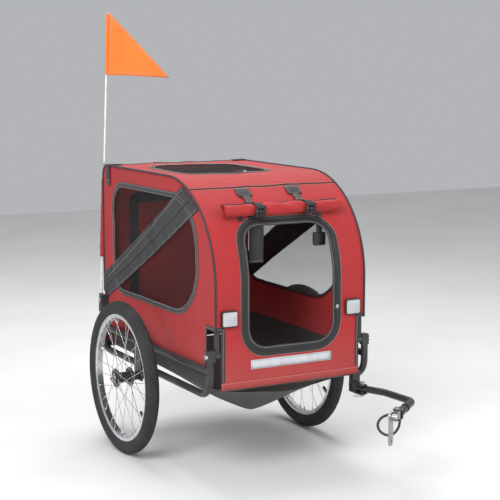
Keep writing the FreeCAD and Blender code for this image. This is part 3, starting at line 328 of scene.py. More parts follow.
FINISHES = {
    "frame_black": powder_coat("black frame paint", (0.018, 0.018, 0.020)),
    "hub_black": powder_coat("black hub paint", (0.022, 0.022, 0.024)),
    "knuckle_plastic": moulded_plastic("black knuckle plastic", (0.030, 0.030, 0.032)),
    "buckle_plastic": moulded_plastic("black buckle plastic", (0.020, 0.020, 0.022), 0.3, 0.5),
    "release_red": moulded_plastic("red button plastic", (0.55, 0.018, 0.012), 0.22, 0.38),
    "pole_fibre": moulded_plastic("white pole", (0.78, 0.78, 0.74), 0.3, 0.5, 400.0),
    "alloy": bare_metal("rim alloy", (0.70, 0.71, 0.73), 0.18, 0.38),
    "spoke_steel": bare_metal("spoke steel", (0.66, 0.67, 0.69), 0.16, 0.32),
    "axle_steel": bare_metal("axle steel", (0.60, 0.61, 0.62), 0.24, 0.42),
    "hitch_steel": bare_metal("hitch steel", (0.36, 0.36, 0.38), 0.30, 0.52),
    "zinc": bare_metal("zinc plate", (0.62, 0.63, 0.62), 0.22, 0.44),
    "cover_main": woven_cloth("red cloth", (0.31, 0.012, 0.014)),
    "cover_dark": woven_cloth("dark cloth", (0.022, 0.022, 0.025)),
    "pennant_cloth": woven_cloth("pennant cloth", (0.85, 0.16, 0.02), pitch=0.0009),
    "window_mesh": window_net("window net", (0.012, 0.012, 0.013)),
    "band_webbing": webbing("strap webbing", (0.020, 0.020, 0.023)),
    "reflective_tape": webbing("reflective tape", (0.42, 0.43, 0.45), rib=0.0009),
    "cord_nylon": webbing("cord braid", (0.030, 0.030, 0.034), rib=0.0024),
    "tyre_rubber": tyre_rubber("tyre rubber", (0.016, 0.016, 0.017)),
    "reflector_lens": prism_lens("reflector lens", (0.62, 0.63, 0.65)),
}
FINISHES["bearing_steel"] = FINISHES["axle_steel"]
binding_web = webbing("binding tape", (0.026, 0.026, 0.029), rib=0.0014)
zip_web = webbing("zip tape", (0.018, 0.018, 0.020), rib=0.0010)
thread_pale = webbing("pale thread", (0.40, 0.36, 0.34), rib=0.0006)
thread_dark = webbing("dark thread", (0.05, 0.05, 0.055), rib=0.0006)
EDGE_ROUND = {
    "knuckle_plastic": 0.0022, "hitch_steel": 0.0010, "frame_black": 0.0006, "buckle_plastic": 0.0008,
    "release_red": 0.0012, "zinc": 0.0005, "hub_black": 0.0005, "axle_steel": 0.0005, "alloy": 0.0006,
}
EDGE_SHARP = math.radians(50)


def finish_cad_pieces():
    """Paint every shown piece of the frame and round its sharp edges a little."""
    for part in frame["record"]["subparts"]:
        shown = frame["nodes"][part["node"]]
        shown.data.materials.clear()
        shown.data.materials.append(FINISHES[part["material_slot"]])
        width = EDGE_ROUND.get(part["material_slot"])
        if width:
            bevel = shown.modifiers.new("edges", "BEVEL")
            bevel.width = width
            bevel.segments = 2
            bevel.limit_method = "ANGLE"
            bevel.angle_limit = EDGE_SHARP
            bevel.harden_normals = True


# Shapes: each is a list of points, a list of faces and a flat place for every point

def piece(name, shape, slot, material=None, body="frame", smooth=True, folds=False, stands_for=()):
    """A new mesh that rides on a body; with folds set, it gets its own copy of the mesh."""
    verts, faces, uvs = shape
    mesh = bpy.data.meshes.new(name)
    mesh.from_pydata([tuple(vert) for vert in verts], [], faces)
    layer = mesh.uv_layers.new(name="flat")
    for corner in mesh.loops:
        layer.data[corner.index].uv = uvs[corner.vertex_index]
    work = bmesh.new()
    work.from_mesh(mesh)
    bmesh.ops.recalc_face_normals(work, faces=work.faces)
    work.to_mesh(mesh)
    work.free()
    for polygon in mesh.polygons:
        polygon.use_smooth = smooth
    mesh.materials.append(material or FINISHES[slot])
    made = bpy.data.objects.new(name, mesh)
    bpy.context.scene.collection.objects.link(made)
    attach(made, body)
    if folds:
        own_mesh(made)
    if stands_for:
        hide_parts(*stands_for)
    return made


piles = []


class Pile:
    """Several small shapes gathered into one piece, which is made once all of them are in."""

    def __init__(self, name, slot, material=None, **more):
        self.shape = ([], [], [])
        piles.append((name, self.shape, slot, material, more))

    def add(self, shape):
        verts, faces, uvs = self.shape
        start = len(verts)
        verts += shape[0]
        faces += [tuple(index + start for index in face) for face in shape[1]]
        uvs += shape[2]


def side_view(verts):
    return [(vert.x, vert.z) for vert in verts]


def spread(start, end, count):
    """Evenly spaced numbers from start to end, both included."""
    return [start + (end - start) * index / (count - 1) for index in range(count)]


def between(first, second, share):
    return tuple(a + (b - a) * share for a, b in zip(first, second))


def facing_at(turn):
    """A direction in the side view: ahead at no turn, up at a quarter turn."""
    return Vector((math.cos(turn), 0, math.sin(turn)))


def dense(points, step=LOOP_STEP, closed=False):
    """The same line with points no further apart than about a step."""
    out = []
    for start, end in zip(points, points[1:] + points[:1] if closed else points[1:]):
        count = max(1, int(math.dist(start, end) / step))
        out += [between(start, end, index / count) for index in range(count)]
    return out if closed else out + points[-1:]


def corner_arcs(low, high, corners, counts):
    """The points of a rectangle's four rounded corners, from the lower left one on."""
    spots = ((low[0], low[1], 1, 1), (high[0], low[1], -1, 1),
             (high[0], high[1], -1, -1), (low[0], high[1], 1, -1))
    points = []
    for quarter, ((u, v, along, up), radius, count) in enumerate(zip(spots, corners, counts)):
        start = math.pi * (1 + quarter / 2)
        for turn in spread(start, start + math.pi / 2, count):
            points.append((u + radius * (along + math.cos(turn)), v + radius * (up + math.sin(turn))))
    return points


def rounded_loop(low, high, corners):
    """A closed outline: a rectangle with its four corners rounded."""
    counts = [max(2, int(radius * math.pi / 2 / LOOP_STEP) + 1) for radius in corners]
    return dense(corner_arcs(low, high, corners, counts), closed=True)


def grown(line, by, closed=True):
    """A line moved to its right, which is outwards for a counter-clockwise outline."""
    out = []
    last = len(line) - 1
    for index, (u, v) in enumerate(line):
        before = line[index - 1 if index or closed else 0]
        after = line[(index + 1) % len(line) if index < last or closed else last]
        run_u, run_v = after[0] - before[0], after[1] - before[1]
        size = math.hypot(run_u, run_v) or 1.0
        out.append((u + run_v / size * by, v - run_u / size * by))
    return out


def sides_of(loop):
    return zip(loop, loop[1:] + loop[:1])


def loop_area(loop):
    return abs(sum(u0 * v1 - u1 * v0 for (u0, v0), (u1, v1) in sides_of(loop))) / 2


def loop_size(loop):
    return tuple(max(point[axis] for point in loop) - min(point[axis] for point in loop) for axis in range(2))


def inside(point, loop):
    u, v = point
    odd = False
    for (u0, v0), (u1, v1) in sides_of(loop):
        if (v0 > v) != (v1 > v) and u < u0 + (v - v0) * (u1 - u0) / (v1 - v0):
            odd = not odd
    return odd


def cut_flat(outline, holes, step):
    """Triangles filling an outline, less its holes: flat points and faces."""
    edge_clearance = 0.55 * step
    merge_distance = 1e-7
    points = []
    edges = []
    for loop in (outline, *holes):
        start = len(points)
        points += [Vector(point) for point in loop]
        edges += [(start + index, start + (index + 1) % len(loop)) for index in range(len(loop))]
    near = kdtree.KDTree(len(points))
    for index, point in enumerate(points):
        near.insert(point.to_3d(), index)
    near.balance()

    def kept(spot):
        return inside(spot, outline) and not any(inside(spot, hole) for hole in holes)

    low = [min(point[axis] for point in outline) for axis in range(2)]
    columns, rows = (int(reach / step) for reach in loop_size(outline))
    for row in range(1, rows + 1):
        for column in range(1, columns + 1):
            spot = Vector((low[0] + (column + 0.5 * (row % 2)) * step, low[1] + row * step))
            if near.find(spot.to_3d())[2] > edge_clearance and kept(spot):
                points.append(spot)
    flat, _, faces, *_ = geometry.delaunay_2d_cdt(points, edges, [], 0, merge_distance)
    middles = [sum((flat[index] for index in face), Vector((0, 0))) / len(face) for face in faces]
    return [tuple(point) for point in flat], [tuple(face) for face, spot in zip(faces, middles) if kept(spot)]


def cut_sheet(outline, place, holes=(), out=0.0, thickness=CLOTH, step=GRID):
    """Both faces and the cut edge of a sheet that is cut flat and then put in place."""
    flat, faces = cut_flat(outline, holes, step)
    count = len(flat)
    verts = [place(u, v, out + level * thickness / 2) for level in (1, -1) for u, v in flat]
    both = faces + [tuple(index + count for index in reversed(face)) for face in faces]
    rim = {}
    for face in faces:
        for start, end in sides_of(face):
            if (end, start) in rim:
                del rim[(end, start)]
            else:
                rim[(start, end)] = True
    both += [(end, start, start + count, end + count) for start, end in rim]
    return verts, both, flat * 2


def ring_faces(rings, sides, closed=False, capped=False):
    """Faces that join each ring of points to the next one."""
    faces = []
    for ring in range(rings if closed else rings - 1):
        here, there = sides * ring, sides * ((ring + 1) % rings)
        for side in range(sides):
            after = (side + 1) % sides
            faces.append((here + side, here + after, there + after, there + side))
    if capped:
        faces += [tuple(reversed(range(sides))), tuple(range(sides * (rings - 1), sides * rings))]
    return faces


def wound(rings, sides, place, closed=False):
    """Rings of points, each placed by the number of its ring and its turn in it."""
    turns = [math.tau * side / sides for side in range(sides)]
    verts = [place(ring, turn) for ring in range(rings) for turn in turns]
    return verts, ring_faces(rings, sides, closed), side_view(verts)


SECTION = ((-1, -1), (1, -1), (1, 1), (-1, 1))      # corners: across the width, through the thickness


def strap(rows, width, closed=False):
    """A flat strap from the four corners of its section at each point along it."""
    verts = [corner for row in rows for corner in row]
    runs = [0.0]
    for before, after in zip(rows, rows[1:]):
        runs.append(runs[-1] + (after[0] + after[2] - before[0] - before[2]).length / 2)
    uvs = [(sign * width / 2, run) for run in runs for sign, _ in SECTION]
    return verts, ring_faces(len(rows), 4, closed, capped=not closed), uvs


def ribbon(path, across, width, thickness, lift):
    """A strap along a path; across and lift are a direction each, or one for every point."""
    sides = across if isinstance(across, list) else [across] * len(path)
    ups = lift if isinstance(lift, list) else [lift] * len(path)
    rows = [[point + side * (sign * width / 2) + up * (level * thickness / 2) for sign, level in SECTION]
            for point, side, up in zip(path, sides, ups)]
    return strap(rows, width)


def tape(line, place, width, out=CLOTH, closed=False):
    """A strap sewn along a line on the cloth, or round a closed cut edge."""
    edges = {sign: grown(line, sign * width / 2, closed) for sign in (-1, 1)}
    rows = [[place(*edges[sign][index], out + level * CLOTH / 2) for sign, level in SECTION]
            for index in range(len(line))]
    return strap(rows, width, closed)


def tube(path, radius, sides=8):
    """A round bar along a path, of one radius or one for every point."""
    sizes = radius if isinstance(radius, tuple) else (radius,) * len(path)
    verts = []
    normal = None
    for index, (point, size) in enumerate(zip(path, sizes)):
        run = (path[min(index + 1, len(path) - 1)] - path[max(0, index - 1)]).normalized()
        if normal is None:
            normal = run.orthogonal().normalized()
        normal = (normal - run * normal.dot(run)).normalized()
        binormal = run.cross(normal)
        for side in range(sides):
            turn = math.tau * side / sides
            verts.append(point + (normal * math.cos(turn) + binormal * math.sin(turn)) * size)
    return verts, ring_faces(len(path), sides, capped=True), side_view(verts)


def block(middle, along, across, up):
    """A small box given by its half sides."""
    verts = [middle + along * a + across * b + up * level for level in (-1, 1) for a, b in SECTION]
    return verts, ring_faces(2, 4, capped=True), side_view(verts)


PLATE_LEVEL_SHARES = ((-1.0, 0.0), (0.55, 0.0), (0.86, 0.012), (1.0, 0.05))     # depth, shrink
CORNER_POINTS = 5


def plate(middle, half, corner, axes=(LEFT, UP, AHEAD)):
    """A plate with rounded corners and a softened rim, given by half its width, height and depth."""
    across, up, out = axes
    first = 2 * CORNER_POINTS       # the upper right corner comes first
    verts = []
    for level, shrink in PLATE_LEVEL_SHARES:
        inset = shrink * min(half[0], half[1])
        high = (half[0] - inset, half[1] - inset)
        low = (-high[0], -high[1])
        outline = corner_arcs(low, high, (corner - inset,) * 4, (CORNER_POINTS,) * 4)
        for a, b in outline[first:] + outline[:first]:
            verts.append(middle + across * a + up * b + out * (level * half[2]))
    return verts, ring_faces(len(PLATE_LEVEL_SHARES), 4 * CORNER_POINTS, capped=True), side_view(verts)


STITCH_RUN_SHARES = (-0.5, -0.3, 0.0, 0.3, 0.5)
STITCH_RISE_SHARES = (-0.9, 0.1, 0.55, 0.1, -0.9)
STITCH_SIZES = tuple(STITCH_RADIUS * share for share in (0.5, 0.95, 1.0, 0.95, 0.5))


def stitch(middle, along, up):
    """A small bar, thick in the middle, that dips in at both ends."""
    path = [middle + along * (STITCH_LENGTH * run) + up * (STITCH_RADIUS * rise)
            for run, rise in zip(STITCH_RUN_SHARES, STITCH_RISE_SHARES)]
    return tube(path, STITCH_SIZES, 6)


def paced(points, ups, pitch, first, closed):
    """Spots at an even pitch along a path: place, heading and the way that the cloth faces."""
    spots = list(zip(points, ups))
    due = first
    run = 0.0
    for (start, start_up), (end, end_up) in sides_of(spots) if closed else zip(spots, spots[1:]):
        gap = (end - start).length
        while gap > 0 and due <= run + gap:
            share = (due - run) / gap
            up = start_up.lerp(end_up, share).normalized()
            yield start.lerp(end, share), (end - start).normalized(), up
            due += pitch
        run += gap


def stitch_line(pile, points, ups, closed=False):
    """Stitches at an even pitch along a path."""
    pitch = STITCH_PITCH * SPARSE
    for spot, along, up in paced(points, ups, pitch, pitch / 2, closed):
        pile.add(stitch(spot, along, up))


def on_cloth(line, place, out):
    """Points of a line on the cloth, with the way that the cloth faces at each."""
    reach = 0.01
    points = [place(u, v, out) for u, v in line]
    ups = [(place(u, v, out + reach) - point).normalized() for (u, v), point in zip(line, points)]
    return points, ups


def sew(pile, line, place, out=2 * CLOTH, closed=False):
    """Stitches along a line on the cloth."""
    stitch_line(pile, *on_cloth(line, place, out), closed)


# The cover's surfaces

FRONT_FLAT = ROUND_Z - HEM
FRONT_TURN = FRONT_ROUND * math.pi / 2
ROOF_FLAT = ROUND_X - ROOF_REAR
REAR_TURN = REAR_ROUND * math.pi / 2
REAR_FLAT = ROOF - REAR_ROUND - HEM
SEAM_RUN = FRONT_FLAT + FRONT_ROUND * math.acos((SEAM_X - ROUND_X) / FRONT_ROUND)
ROOF_END = FRONT_FLAT + FRONT_TURN + ROOF_FLAT
WHOLE_RUN = ROOF_END + REAR_TURN + REAR_FLAT
SLIT_RUN = SLIT_TOP - HEM
FRONT_DIP = 0.004       # how far each stretch of cloth hangs in, in its middle
ROOF_DIP = 0.011
REAR_DIP = 0.006


def profile(run):
    """Where the cover's outer line is, run metres up from the front hem and over, and which way it faces."""
    if run <= FRONT_FLAT:
        return Vector((CABIN_FRONT, 0, HEM + run)), AHEAD.copy()
    run -= FRONT_FLAT
    if run <= FRONT_TURN:
        facing = facing_at(run / FRONT_ROUND)
        return Vector((ROUND_X, 0, ROUND_Z)) + facing * FRONT_ROUND, facing
    run -= FRONT_TURN
    if run <= ROOF_FLAT:
        return Vector((ROUND_X - run, 0, ROOF)), UP.copy()
    run -= ROOF_FLAT
    if run <= REAR_TURN:
        facing = facing_at(math.pi / 2 + run / REAR_ROUND)
        return Vector((ROOF_REAR, 0, ROOF - REAR_ROUND)) + facing * REAR_ROUND, facing
    run -= REAR_TURN
    return Vector((CABIN_REAR, 0, ROOF - REAR_ROUND - run)), -AHEAD


def run_at_height(z):
    """How far up the front a height is."""
    if z <= ROUND_Z:
        return z - HEM
    return FRONT_FLAT + FRONT_ROUND * math.asin((z - ROUND_Z) / FRONT_ROUND)


def run_at_roof(x):
    return FRONT_FLAT + FRONT_TURN + ROUND_X - x


def slack(share):
    """Nothing at both edges and one in the middle."""
    return math.sin(math.pi * min(1.0, max(0.0, share)))


def crumple(spot, size, height):
    return noise.noise(spot * (1 / size)) * height


def slant_folds(u, v, seed, across, along, height):
    """Creases that run slantwise over the cloth."""
    return noise.noise(Vector(((u - v) * across, (u + v) * along, seed))) * height


def strip_place(y, run, out):
    """A point of the front, roof and rear cloth: it hangs a little slack between the hoops."""
    point, facing = profile(run)
    across = slack((y / HALF + 1) / 2)
    stretches = ((0.0, SEAM_RUN, FRONT_DIP), (SEAM_RUN, ROOF_END, ROOF_DIP), (ROOF_END, WHOLE_RUN, REAR_DIP))
    start, end, depth = stretches[(run >= SEAM_RUN) + (run >= ROOF_END)]
    spot = Vector((y, run, 3.0))
    creases = crumple(spot, size=0.09, height=0.0036) + crumple(spot, size=0.035, height=0.0012)
    creases += slant_folds(run, y, seed=5.0, across=8.0, along=20.0, height=0.0020)
    dip = across * (creases - depth * slack((run - start) / (end - start))) - CLOTH
    point = point + facing * (dip + out)
    point.y = y
    return point


def side_place(sign):
    """The function that places a point of a side panel, pulled in where nothing holds it out."""
    def place(x, z, out):
        along = slack((x - CABIN_REAR) / (CABIN_FRONT - CABIN_REAR))
        high = slack((z - SIDE_HEM) / (ROOF - SIDE_HEM))
        spot = Vector((x, z, 7.0 + sign))
        creases = crumple(spot, size=0.08, height=0.0038)
        creases += slant_folds(x, z, seed=1.0 + sign, across=9.0, along=22.0, height=0.0028)
        dip = CLOTH + SIDE_BOW * along * high - (0.25 + along * high) * creases
        return Vector((x, sign * (HALF - dip + out), z))
    return place


def cover_edge():
    """The side panel's upper edge, from the front slit up, over and down to the rear slit."""
    start, end = SLIT_RUN, WHOLE_RUN - SLIT_RUN
    count = int((end - start) / LOOP_STEP)
    return [profile(run)[0] for run in spread(start, end, count + 1)]


def side_outline():
    """The side panel's cut edge, slits for the hoop hinges included."""
    nearest = 0.0005
    points = [(SLIT_REAR_X, SIDE_HEM), (SLIT_FRONT_X, SIDE_HEM), (SLIT_FRONT_X, SLIT_TOP),
              (CABIN_FRONT, SLIT_TOP)]
    points += [(spot.x, spot.z) for spot in cover_edge()]
    points += [(CABIN_REAR, SLIT_TOP), (SLIT_REAR_X, SLIT_TOP)]
    apart = [point for index, point in enumerate(points) if math.dist(point, points[index - 1]) > nearest]
    return dense(apart, closed=True)


WINDOW = rounded_loop((WINDOW_LOW.x, WINDOW_LOW.z), (WINDOW_HIGH.x, WINDOW_HIGH.z),
                      (WINDOW_REAR_CORNER, WINDOW_FRONT_CORNER, WINDOW_FRONT_CORNER, WINDOW_REAR_CORNER))
DOOR = rounded_loop((-DOOR_HALF, run_at_height(DOOR_BOTTOM)), (DOOR_HALF, run_at_height(DOOR_TOP)),
                    (DOOR_CORNER,) * 4)
HATCH = rounded_loop((-HATCH_HIGH.y, run_at_roof(HATCH_HIGH.x)), (HATCH_HIGH.y, run_at_roof(HATCH_LOW.x)),
                     (HATCH_FRONT_CORNER, HATCH_FRONT_CORNER, HATCH_REAR_CORNER, HATCH_REAR_CORNER))


# The cover

BINDING_SEAM = 0.006    # from a cut edge or a seam to the stitches beside it
ZIP_SEAMS = (-0.007, 0.019)
HEM_SEAM = 0.012
SIDE_HEM_SEAM = 0.010
HEM_END = 0.004         # how far a hem's stitches stop short of its ends
TOOTH_HALF = Vector((0.0011, 0.0024, 0.0010))   # along the zip, across it and out of the cloth


def cloth_sheet(name, outline, place, slot, stands_for, holes=(), out=0.0, thickness=CLOTH):
    """One cut piece of the cover."""
    shape = cut_sheet(outline, place, holes, out, thickness)
    made = piece(name, shape, slot, folds=True, stands_for=[stands_for])
    area = loop_area(outline) - sum(loop_area(hole) for hole in holes)


def net_sheet(name, opening, place, stands_for):
    """A net sewn under the cloth round an opening."""
    cloth_sheet(name, grown(opening, SEAM_LAP), place, "window_mesh", stands_for, out=-CLOTH, thickness=NET)


def bound_edge(tapes, seams, loop, place):
    """A binding round an opening, stitched along both its edges."""
    tapes.add(tape(loop, place, BINDING, closed=True))
    for offset in (-BINDING_SEAM, BINDING_SEAM):
        sew(seams, grown(loop, offset), place, closed=True)


def build_zip(seams):
    """The door's zip: tape, stitches and a row of teeth along its middle."""
    tapes = Pile("door_zip_tape", "band_webbing", zip_web, folds=True)
    teeth = Pile("door_zip_teeth", "buckle_plastic", smooth=False, folds=True)
    middle = grown(DOOR, ZIP_OFFSET)
    tapes.add(tape(middle, strip_place, ZIP_TAPE, closed=True))
    for offset in ZIP_SEAMS:
        sew(seams, grown(DOOR, offset), strip_place, closed=True)
    points, ups = on_cloth(middle, strip_place, 2 * CLOTH)
    for spot, along, up in paced(points, ups, TOOTH_PITCH * SPARSE, 0.0, closed=True):
        across = up.cross(along)
        teeth.add(block(spot, along * TOOTH_HALF.x, across * TOOTH_HALF.y, up * TOOTH_HALF.z))


def build_cover():
    tapes = Pile("cover_bindings", "band_webbing", binding_web, folds=True)
    seams = Pile("cover_stitches", "reflective_tape", thread_pale, folds=True)
    cords = Pile("cover_piping", "cover_dark", folds=True)

    def across(run, inset=0.0):
        return dense([(inset - HALF, run), (HALF - inset, run)])

    def panel(start, end):
        return dense([(-HALF, start), (HALF, start), (HALF, end), (-HALF, end)], closed=True)

    front = dense([(-NOTCH_Y, 0.0), (NOTCH_Y, 0.0), (NOTCH_Y, SLIT_RUN), (HALF, SLIT_RUN), (HALF, SEAM_RUN),
                   (-HALF, SEAM_RUN), (-HALF, SLIT_RUN), (-NOTCH_Y, SLIT_RUN)], closed=True)
    cloth_sheet("front_cloth", front, strip_place, "cover_main", "cover_front", [DOOR])
    cloth_sheet("roof_cloth", panel(SEAM_RUN, ROOF_END), strip_place, "cover_main", "cover_roof", [HATCH])
    cloth_sheet("rear_cloth", panel(ROOF_END, WHOLE_RUN), strip_place, "cover_main", "cover_rear")
    net_sheet("roof_net", HATCH, strip_place, "roof_hatch_mesh")
    bound_edge(tapes, seams, HATCH, strip_place)
    beside = BINDING_SEAM
    for run in (SEAM_RUN - beside, SEAM_RUN + beside, ROOF_END - beside, WHOLE_RUN - HEM_SEAM):
        sew(seams, across(run, beside), strip_place, CLOTH)
    for run in (SEAM_RUN, ROOF_END):
        cords.add(tube([strip_place(y, run, PIPING / 2) for y, _ in across(run)], PIPING / 2))
    for side, sign in SIDES.items():
        place = side_place(sign)
        cloth_sheet(f"side_cloth_{side}", side_outline(), place, "cover_main", f"cover_side_{side}", [WINDOW])
        net_sheet(f"side_net_{side}", WINDOW, place, f"window_mesh_{side}")
        bound_edge(tapes, seams, WINDOW, place)
        cords.add(tube([Vector((spot.x, sign * HALF, spot.z)) for spot in cover_edge()], PIPING))
        hem_z = SIDE_HEM + SIDE_HEM_SEAM
        sew(seams, dense([(SLIT_REAR_X + HEM_END, hem_z), (SLIT_FRONT_X - HEM_END, hem_z)]), place, CLOTH)
    build_zip(seams)


# The door roll, its straps and the front's fittings

ROLL_MIDDLE = (ROLL_LOW + ROLL_HIGH) / 2
ROLL_RADIUS = (ROLL_HIGH.z - ROLL_LOW.z) / 2
ROLL_TURNS = 2.6
ROLL_CORE_SHARE = 0.30
ROLL_RUN = math.pi * ROLL_RADIUS * (1 + ROLL_CORE_SHARE) * ROLL_TURNS
ROLL_HALF = ROLL_HIGH.y - 0.002
ROLL_START = math.radians(150)
ROLL_SAG = 0.00175
ROLL_PLEATS = 0.0012    # heights: gathers beside a strap, folds between the straps, creases all over
ROLL_FOLDS = 0.0020
ROLL_CREASES = 0.0034
ROLL_EDGE = 0.010
ROLL_EDGE_INSET = 0.004
STRAP_Y = 0.088
STRAP_WIDTH = 0.025
STRAP_THICKNESS = 0.0016
STRAP_PINCH = 0.0035
STRAP_NIP = 0.022       # how far to each side of a strap the roll is drawn in
STRAP_TOP = 0.862
STRAP_LIFT = 0.0034     # over the cover's outer line
STRAP_WRAP = 0.0030     # over the nipped roll
STRAP_BEND_RISE = 0.006     # over the roll's middle, where the strap leaves the cover
SEWN_TOP = 0.858
SEWN_HALF = 0.010
SEWN_HEIGHT = 0.020
SEWN_LIFT = 0.0046
SEWN_STEP = 0.004
BOX_STITCH = ((-1, 0), (-1, 1), (1, 1), (1, 0), (-1, 0))        # round a square
CROSS_STITCH = ((1, 1), (-1, 1), (1, 0))                        # then across it


def roll_point(y, run, out):
    """The rolled door: cloth wound inwards, nipped where the straps go round it."""
    share = run / ROLL_RUN
    nip = math.exp(-((abs(y) - STRAP_Y) / STRAP_NIP) ** 2)
    radius = ROLL_RADIUS * (1 - (1 - ROLL_CORE_SHARE) * share) - STRAP_PINCH * nip * (1 - share) - CLOTH
    turn = ROLL_START - math.tau * ROLL_TURNS * share
    spot = Vector((y * 14.0, math.cos(turn) * 1.2, math.sin(turn) * 1.2 + share))
    pleats = ROLL_PLEATS * nip * math.cos(9 * turn + y * 20.0)
    folds = ROLL_FOLDS * (1 - nip) * math.sin(3 * turn + y * 30.0 + 2.0 * math.sin(y * 17.0))
    creases = noise.noise(spot) * ROLL_CREASES * (1 - 0.6 * nip)
    radius += (creases + pleats + folds) * (1 - share) + out
    ends = 0.0016 * math.sin(turn * 1.7 + share * 5) * (abs(y) / ROLL_HIGH.y) ** 4
    sag = ROLL_SAG * math.cos(y * math.pi / (2 * ROLL_HIGH.y))
    return ROLL_MIDDLE + facing_at(turn) * radius + LEFT * (y * (1 + ends)) - UP * sag


def build_roll():
    outline = dense([(-ROLL_HALF, 0.0), (ROLL_HALF, 0.0), (ROLL_HALF, ROLL_RUN), (-ROLL_HALF, ROLL_RUN)],
                    FINE_STEP, closed=True)
    shape = cut_sheet(outline, roll_point, step=FINE_STEP * 1)
    roll = piece("door_roll", shape, "cover_main", body="front_hoop", stands_for=["rolled_door"])
    line = dense([(-ROLL_HALF, ROLL_EDGE_INSET), (ROLL_HALF, ROLL_EDGE_INSET)], FINE_STEP)
    points, ups = on_cloth(line, roll_point, CLOTH)
    edge = ribbon(points, [up.cross(LEFT) for up in ups], ROLL_EDGE, CLOTH, ups)
    piece("door_roll_edge", edge, "band_webbing", binding_web, body="front_hoop")


def strap_path():
    """From the sewn tab on the cover, round the front of the roll and back up behind it, with its facings."""
    wrap_start, wrap_end = 112, -156
    low_z = ROLL_MIDDLE.z + STRAP_BEND_RISE
    path = []
    for run in spread(run_at_height(STRAP_TOP), run_at_height(low_z), 12):
        point, facing = profile(run)
        path.append((point + facing * STRAP_LIFT, facing))
    for turn in spread(wrap_start, wrap_end, 26):
        facing = facing_at(math.radians(turn))
        path.append((ROLL_MIDDLE + facing * (ROLL_RADIUS - STRAP_PINCH + STRAP_WRAP), facing))
    return path


def build_straps():
    webs = Pile("door_strap_webs", "band_webbing", body="front_hoop", stands_for=["door_straps"])
    sewn = Pile("door_strap_stitches", "reflective_tape", thread_pale, body="front_hoop")
    for sign in SIDES.values():
        points = [point + LEFT * (sign * STRAP_Y) for point, _ in strap_path()]
        ups = [facing for _, facing in strap_path()]
        webs.add(ribbon(points, LEFT, STRAP_WIDTH, STRAP_THICKNESS, ups))
        corners = [(sign * STRAP_Y + a * SEWN_HALF, run_at_height(SEWN_TOP) - b * SEWN_HEIGHT)
                   for a, b in BOX_STITCH + CROSS_STITCH]
        spots = [(*profile(run), y) for y, run in dense(corners, SEWN_STEP)]
        stitch_line(sewn, [point + facing * SEWN_LIFT + LEFT * y for point, facing, y in spots],
                    [facing for _, facing, _ in spots])


def build_reflectors():
    low, high = box("reflectors")
    depth = high.x - low.x
    case_depth, lens_depth = depth * 0.70, depth * 0.52
    half_width, rim = 0.0275, 0.004
    rivet_inset, rivet_length, rivet_radius = 0.0022, 0.003, 0.0012
    case = (half_width, (high.z - low.z) / 2, case_depth / 2)
    face = (case[0] - rim, case[1] - rim, lens_depth / 2)
    lenses = Pile("reflector_lenses", "reflector_lens", body="front_hoop", stands_for=["reflectors"])
    cases = Pile("reflector_cases", "buckle_plastic", body="front_hoop")
    for sign in SIDES.values():
        back = Vector((low.x, sign * (high.y - half_width), (low.z + high.z) / 2))
        front = back + AHEAD * depth
        cases.add(plate(back + AHEAD * (case_depth / 2), case, corner=0.007))
        lenses.add(plate(front - AHEAD * (lens_depth / 2), face, corner=0.005))
        for end in (1, -1):
            rivet = front + UP * (end * (case[1] - rivet_inset))
            cases.add(tube([rivet - AHEAD * rivet_length, rivet], rivet_radius, 10))


def build_strip():
    """The reflective strip sewn across the front, under the door."""
    corner, seam, thickness, lift = 0.002, 0.003, 0.0010, 0.0016
    low, high = ((spot.y, spot.z - HEM) for spot in (STRIP_LOW, STRIP_HIGH))
    outline = rounded_loop(low, high, (corner,) * 4)
    shape = cut_sheet(outline, strip_place, out=lift, thickness=thickness)
    piece("front_strip", shape, "reflective_tape", folds=True, stands_for=["reflective_strip"])
    sewn = Pile("front_strip_stitches", "band_webbing", thread_dark, folds=True)
    sew(sewn, grown(outline, -seam), strip_place, closed=True)


# Bands, floor, wheels and flag

BAND_HIGH = (0.286 + SHIFT, 0.897)      # the side band's front end
BAND_LOW = (0.393 + SHIFT, 0.834)
BAND_REAR = (0.543, 0.447)              # heights at its rear end
BAND_THICKNESS = 0.0016
BAND_LIFT = 0.0019
BAND_THREAD_LIFT = 0.0030
BAND_SEAM_X = CABIN_REAR + 0.034
BAND_SEAM_DROP = 0.004
BAND_SEAM_RISE = 0.022
BAND_SEAM_SHARES = (0.06, 0.94)
FLOOR_SHOULDER = 0.290
FLOOR_SHOULDER_INSET = 0.012
FLOOR_SHOULDER_LIFT = 0.001
FLOOR_EDGE_INSET = 0.005
FLOOR_END_INSET = 0.002
FLOOR_LAP_SHARE = 0.24
FLOOR_LOW_X = 0.230 + SHIFT
FLOOR_FRONT_LOW = 0.262
FLOOR_REAR_LOW = 0.288
FLOOR_CUT_WIDTH = 0.720
FLOOR_ROWS = 64
TYRE_SECTION = 0.022
TREAD_DEPTH = 0.0017
TREAD_RIB = 0.10        # places round the tyre's section are angles from its outermost line
TREAD_REACH = 1.05
TREAD_GROOVES = ((0.10, 0.20), (0.58, 0.66))
TREAD_BLOCKS = 54
TREAD_SLANT = 1.1
TREAD_GAP_SHARE = 0.28
SMOOTH_FROM = 1.1
WALL_LINE = (1.35, 1.50)
WALL_LINE_DEPTH = 0.0006
TYRE_LEANS = 64
TYRE_TURNS = 648
SPOKE_COUNT = 14
SPOKE_RIM_OFFSET = 0.004
RIM_INNER = 0.195
NIPPLE_RUNS = (-0.001, 0.003, 0.0035, 0.013)     # inwards from the rim
NIPPLE_SIZES = (0.0026, 0.0026, 0.0018, 0.0016)
VALVE_RUNS = (-0.002, 0.001, 0.0015, 0.018, 0.0185, 0.032, 0.034)
VALVE_SIZES = (0.0055, 0.0052, 0.0042, 0.0036, 0.0046, 0.0046, 0.0034)
